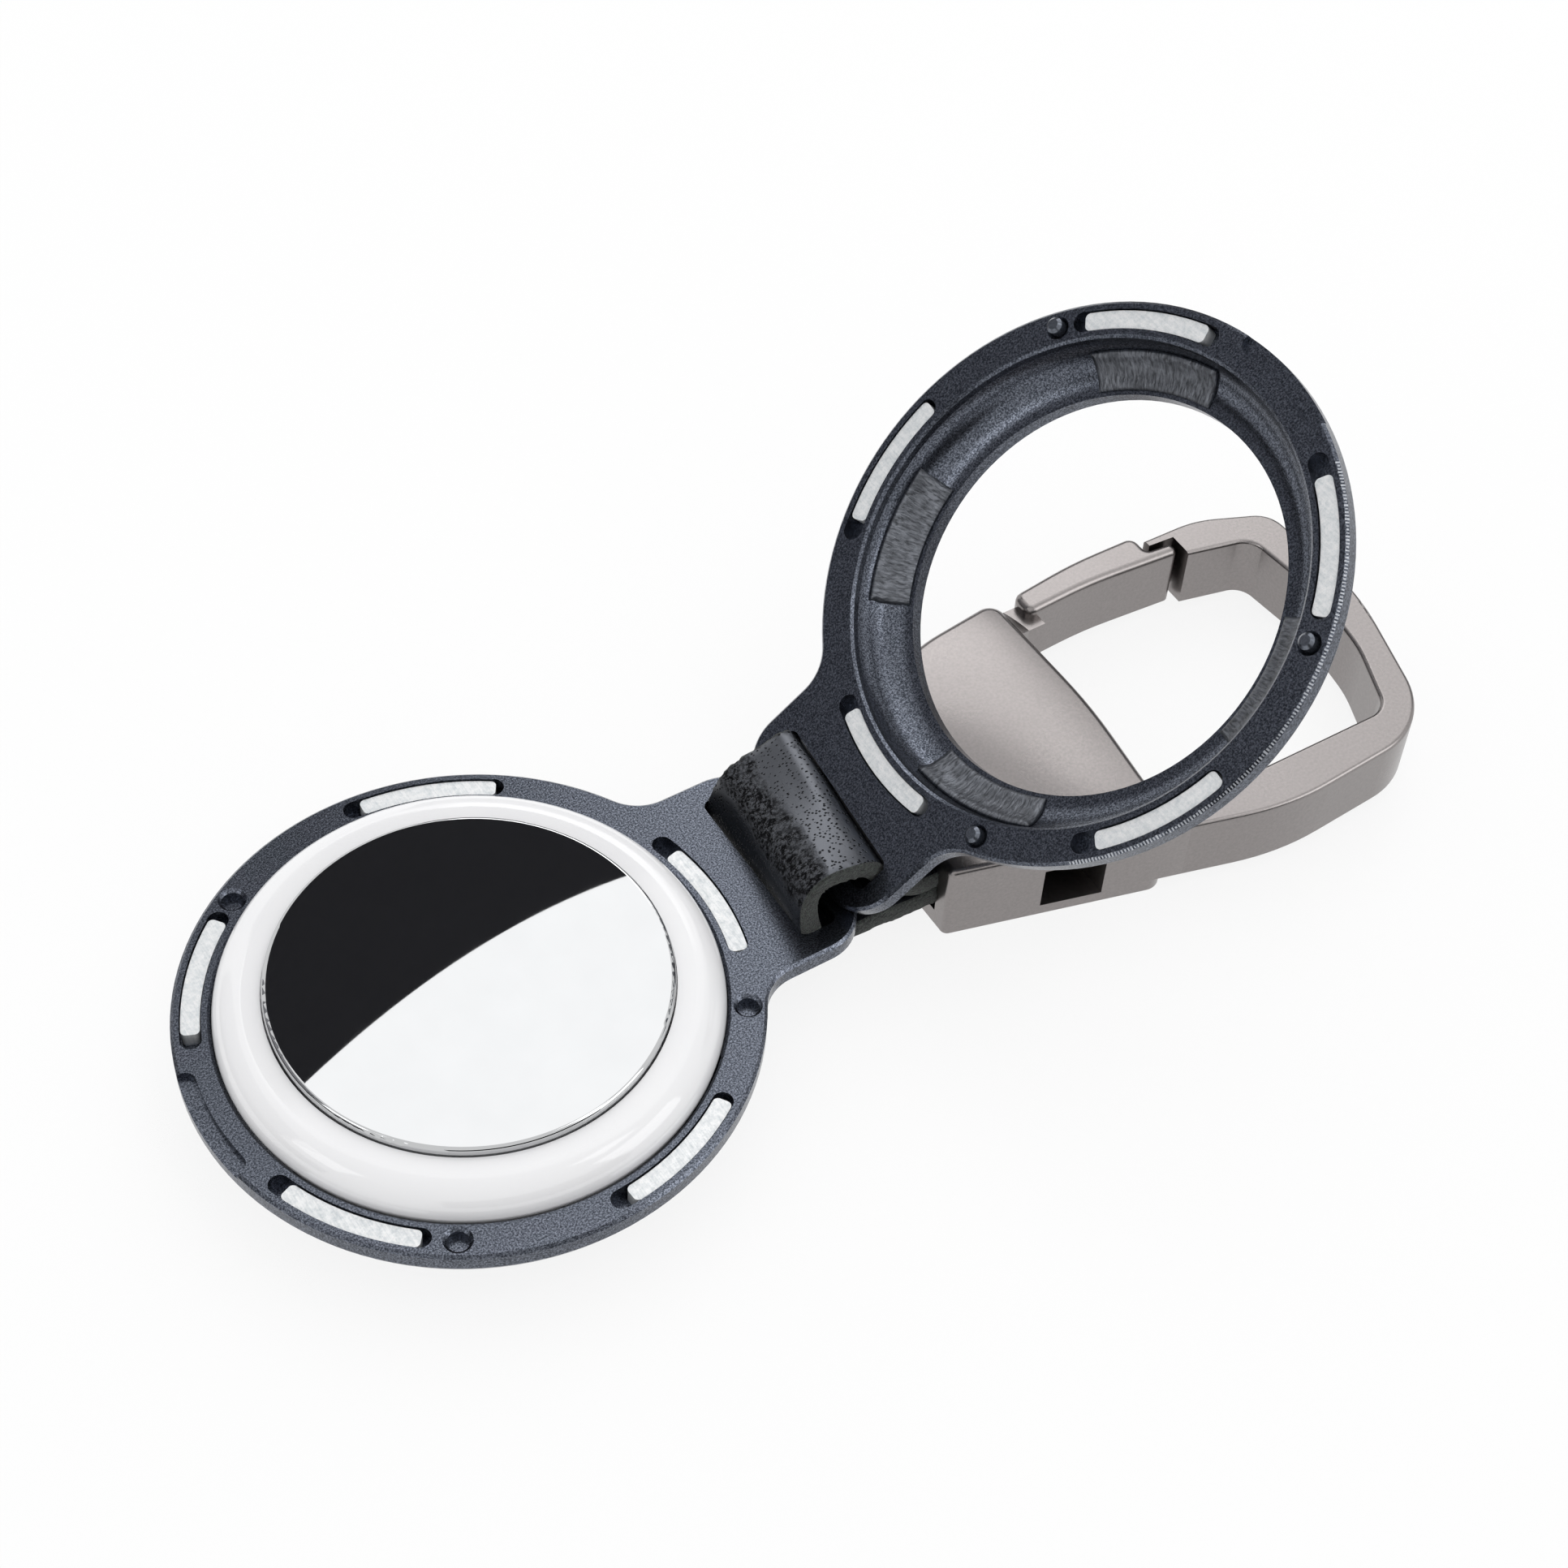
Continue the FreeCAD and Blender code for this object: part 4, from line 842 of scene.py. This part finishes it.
# %% Pad mesh
SEAT_MID, SEAT_ROUND = (13.415 * MM, -0.478 * MM), 2.645 * MM
PAD_SPAN, PAD_FROM, PAD_TO = math.radians(35), math.radians(-24.3), math.radians(-86.6)
PAD_RADIUS, PAD_WIDE, PAD_RIM = 13 * MM, 2.8 * MM, 0.35 * MM  # near its inner edge
PAD_LONG = PAD_SPAN * PAD_RADIUS
PAD_THICK, PAD_THIN, GLUE, SUNK, CRINKLE = 0.35 * MM, 0.55, 0.02 * MM, 0.03 * MM, 0.05 * MM
ALONG, ACROSS, TRIM, SHORTER = 34, 16, 0.012, 0.985
CUT_WAVES, CUT_WAVER, CUT_CALM, CRINKLE_WAVES = (9, 4), 0.012, 0.3, (26, 8)
SEED_STEP, CRINKLE_SEED = 0.01, 7


def pad_point(u, v, turn, seed, is_skin):
    """A point of a pad, u along it and v across it, both from 0 to 1: on the glue or the skin."""
    waver = noise.noise(Vector((u * CUT_WAVES[0], v * CUT_WAVES[1], seed))) * CUT_WAVER
    a = turn + PAD_SPAN * (u - 0.5) * (SHORTER + waver * (1 if 0 < v < 1 else CUT_CALM))
    h = PAD_FROM + (PAD_TO - PAD_FROM) * (TRIM + (1 - 2 * TRIM) * v)
    rim = min(1.0, min(u, 1 - u) * PAD_LONG / PAD_RIM, min(v, 1 - v) * PAD_WIDE / PAD_RIM)
    skin = PAD_THICK * (PAD_THIN + (1 - PAD_THIN) * math.sin(rim * math.pi / 2)) - SUNK
    skin += noise.noise(Vector((u * CRINKLE_WAVES[0], v * CRINKLE_WAVES[1],
                                seed + CRINKLE_SEED))) * CRINKLE * rim
    r = SEAT_ROUND - GLUE - (skin if is_skin else 0.0)
    flat = SEAT_MID[0] + r * math.cos(h)
    return Vector((flat * math.cos(a), flat * math.sin(a), SEAT_MID[1] + r * math.sin(h)))


def pad_mesh(name, turn, pose, seed):
    """A crowned, crinkled strip on the seat, closed all round."""
    grid = [(i / ALONG, j / ACROSS) for i in range(ALONG + 1) for j in range(ACROSS + 1)]
    points = [pose @ pad_point(u, v, turn, seed, is_skin) for is_skin in (False, True) for u, v in grid]
    runs = [n for u, v in grid for n in (u * PAD_SPAN * SEAT_MID[0], v * PAD_WIDE, seed * SEED_STEP)]
    wide, sheet = ACROSS + 1, len(grid)
    faces = []
    for i in range(ALONG):
        for j in range(ACROSS):
            q = [i * wide + j, i * wide + j + 1, (i + 1) * wide + j + 1, (i + 1) * wide + j]
            faces += [q, [sheet + k for k in reversed(q)]]
    rim_line = list(range(wide)) + [i * wide + ACROSS for i in range(1, ALONG + 1)]
    rim_line += [ALONG * wide + j for j in range(ACROSS - 1, -1, -1)]
    rim_line += [i * wide for i in range(ALONG - 1, 0, -1)]
    faces += [[b, a, a + sheet, b + sheet] for a, b in zip(rim_line, rim_line[1:] + rim_line[:1])]
    mesh = bpy.data.meshes.new(name)
    mesh.from_pydata(points, [], faces)
    mesh.attributes.new("pad_run", "FLOAT_VECTOR", "POINT").data.foreach_set("vector", runs * 2)
    for face in mesh.polygons:
        face.use_smooth = True
    return mesh


pad_middle = SEAT_MID[0] + SEAT_ROUND * math.cos((PAD_FROM + PAD_TO) / 2)
print("a pad laid flat:", round(PAD_SPAN * pad_middle / MM, 1), "by",
      round(SEAT_ROUND * (PAD_FROM - PAD_TO) / MM, 1), "mm")

# %% [markdown]
# The four places are the same on both rings. Each pad takes the place of its plain CAD solid, and
# has its own seed, so that no two crinkle alike. The cover's pads take the cover's pose.

# %% Pads on both seats
PAD_TURNS, COVER_SEEDS = (23, 111, -145, -59), 10
for body, pose, first_seed in (("base", Matrix.Identity(4), 0), ("cover", cover_pose, COVER_SEEDS)):
    for number, degrees in enumerate(PAD_TURNS, 1):
        name = f"{body}_leather_pad_{number}"
        mesh = pad_mesh(name, math.radians(degrees), pose, number + first_seed)
        mesh.materials.append(pad_leather)
        pad = bpy.data.objects.new(name, mesh)
        bpy.context.scene.collection.objects.link(pad)
        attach(pad, body)
        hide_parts(f"{body}_pad_{number}")
        low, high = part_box(f"{body}_pad_{number}")
        sides = [(min(line), max(line)) for line in zip(*(v.co for v in mesh.vertices))]
        middle = Vector([sum(side) / 2 for side in sides])
        print(name, "lies", round((middle - (low + high) / 2).length / MM, 2), "mm off its solid's middle")
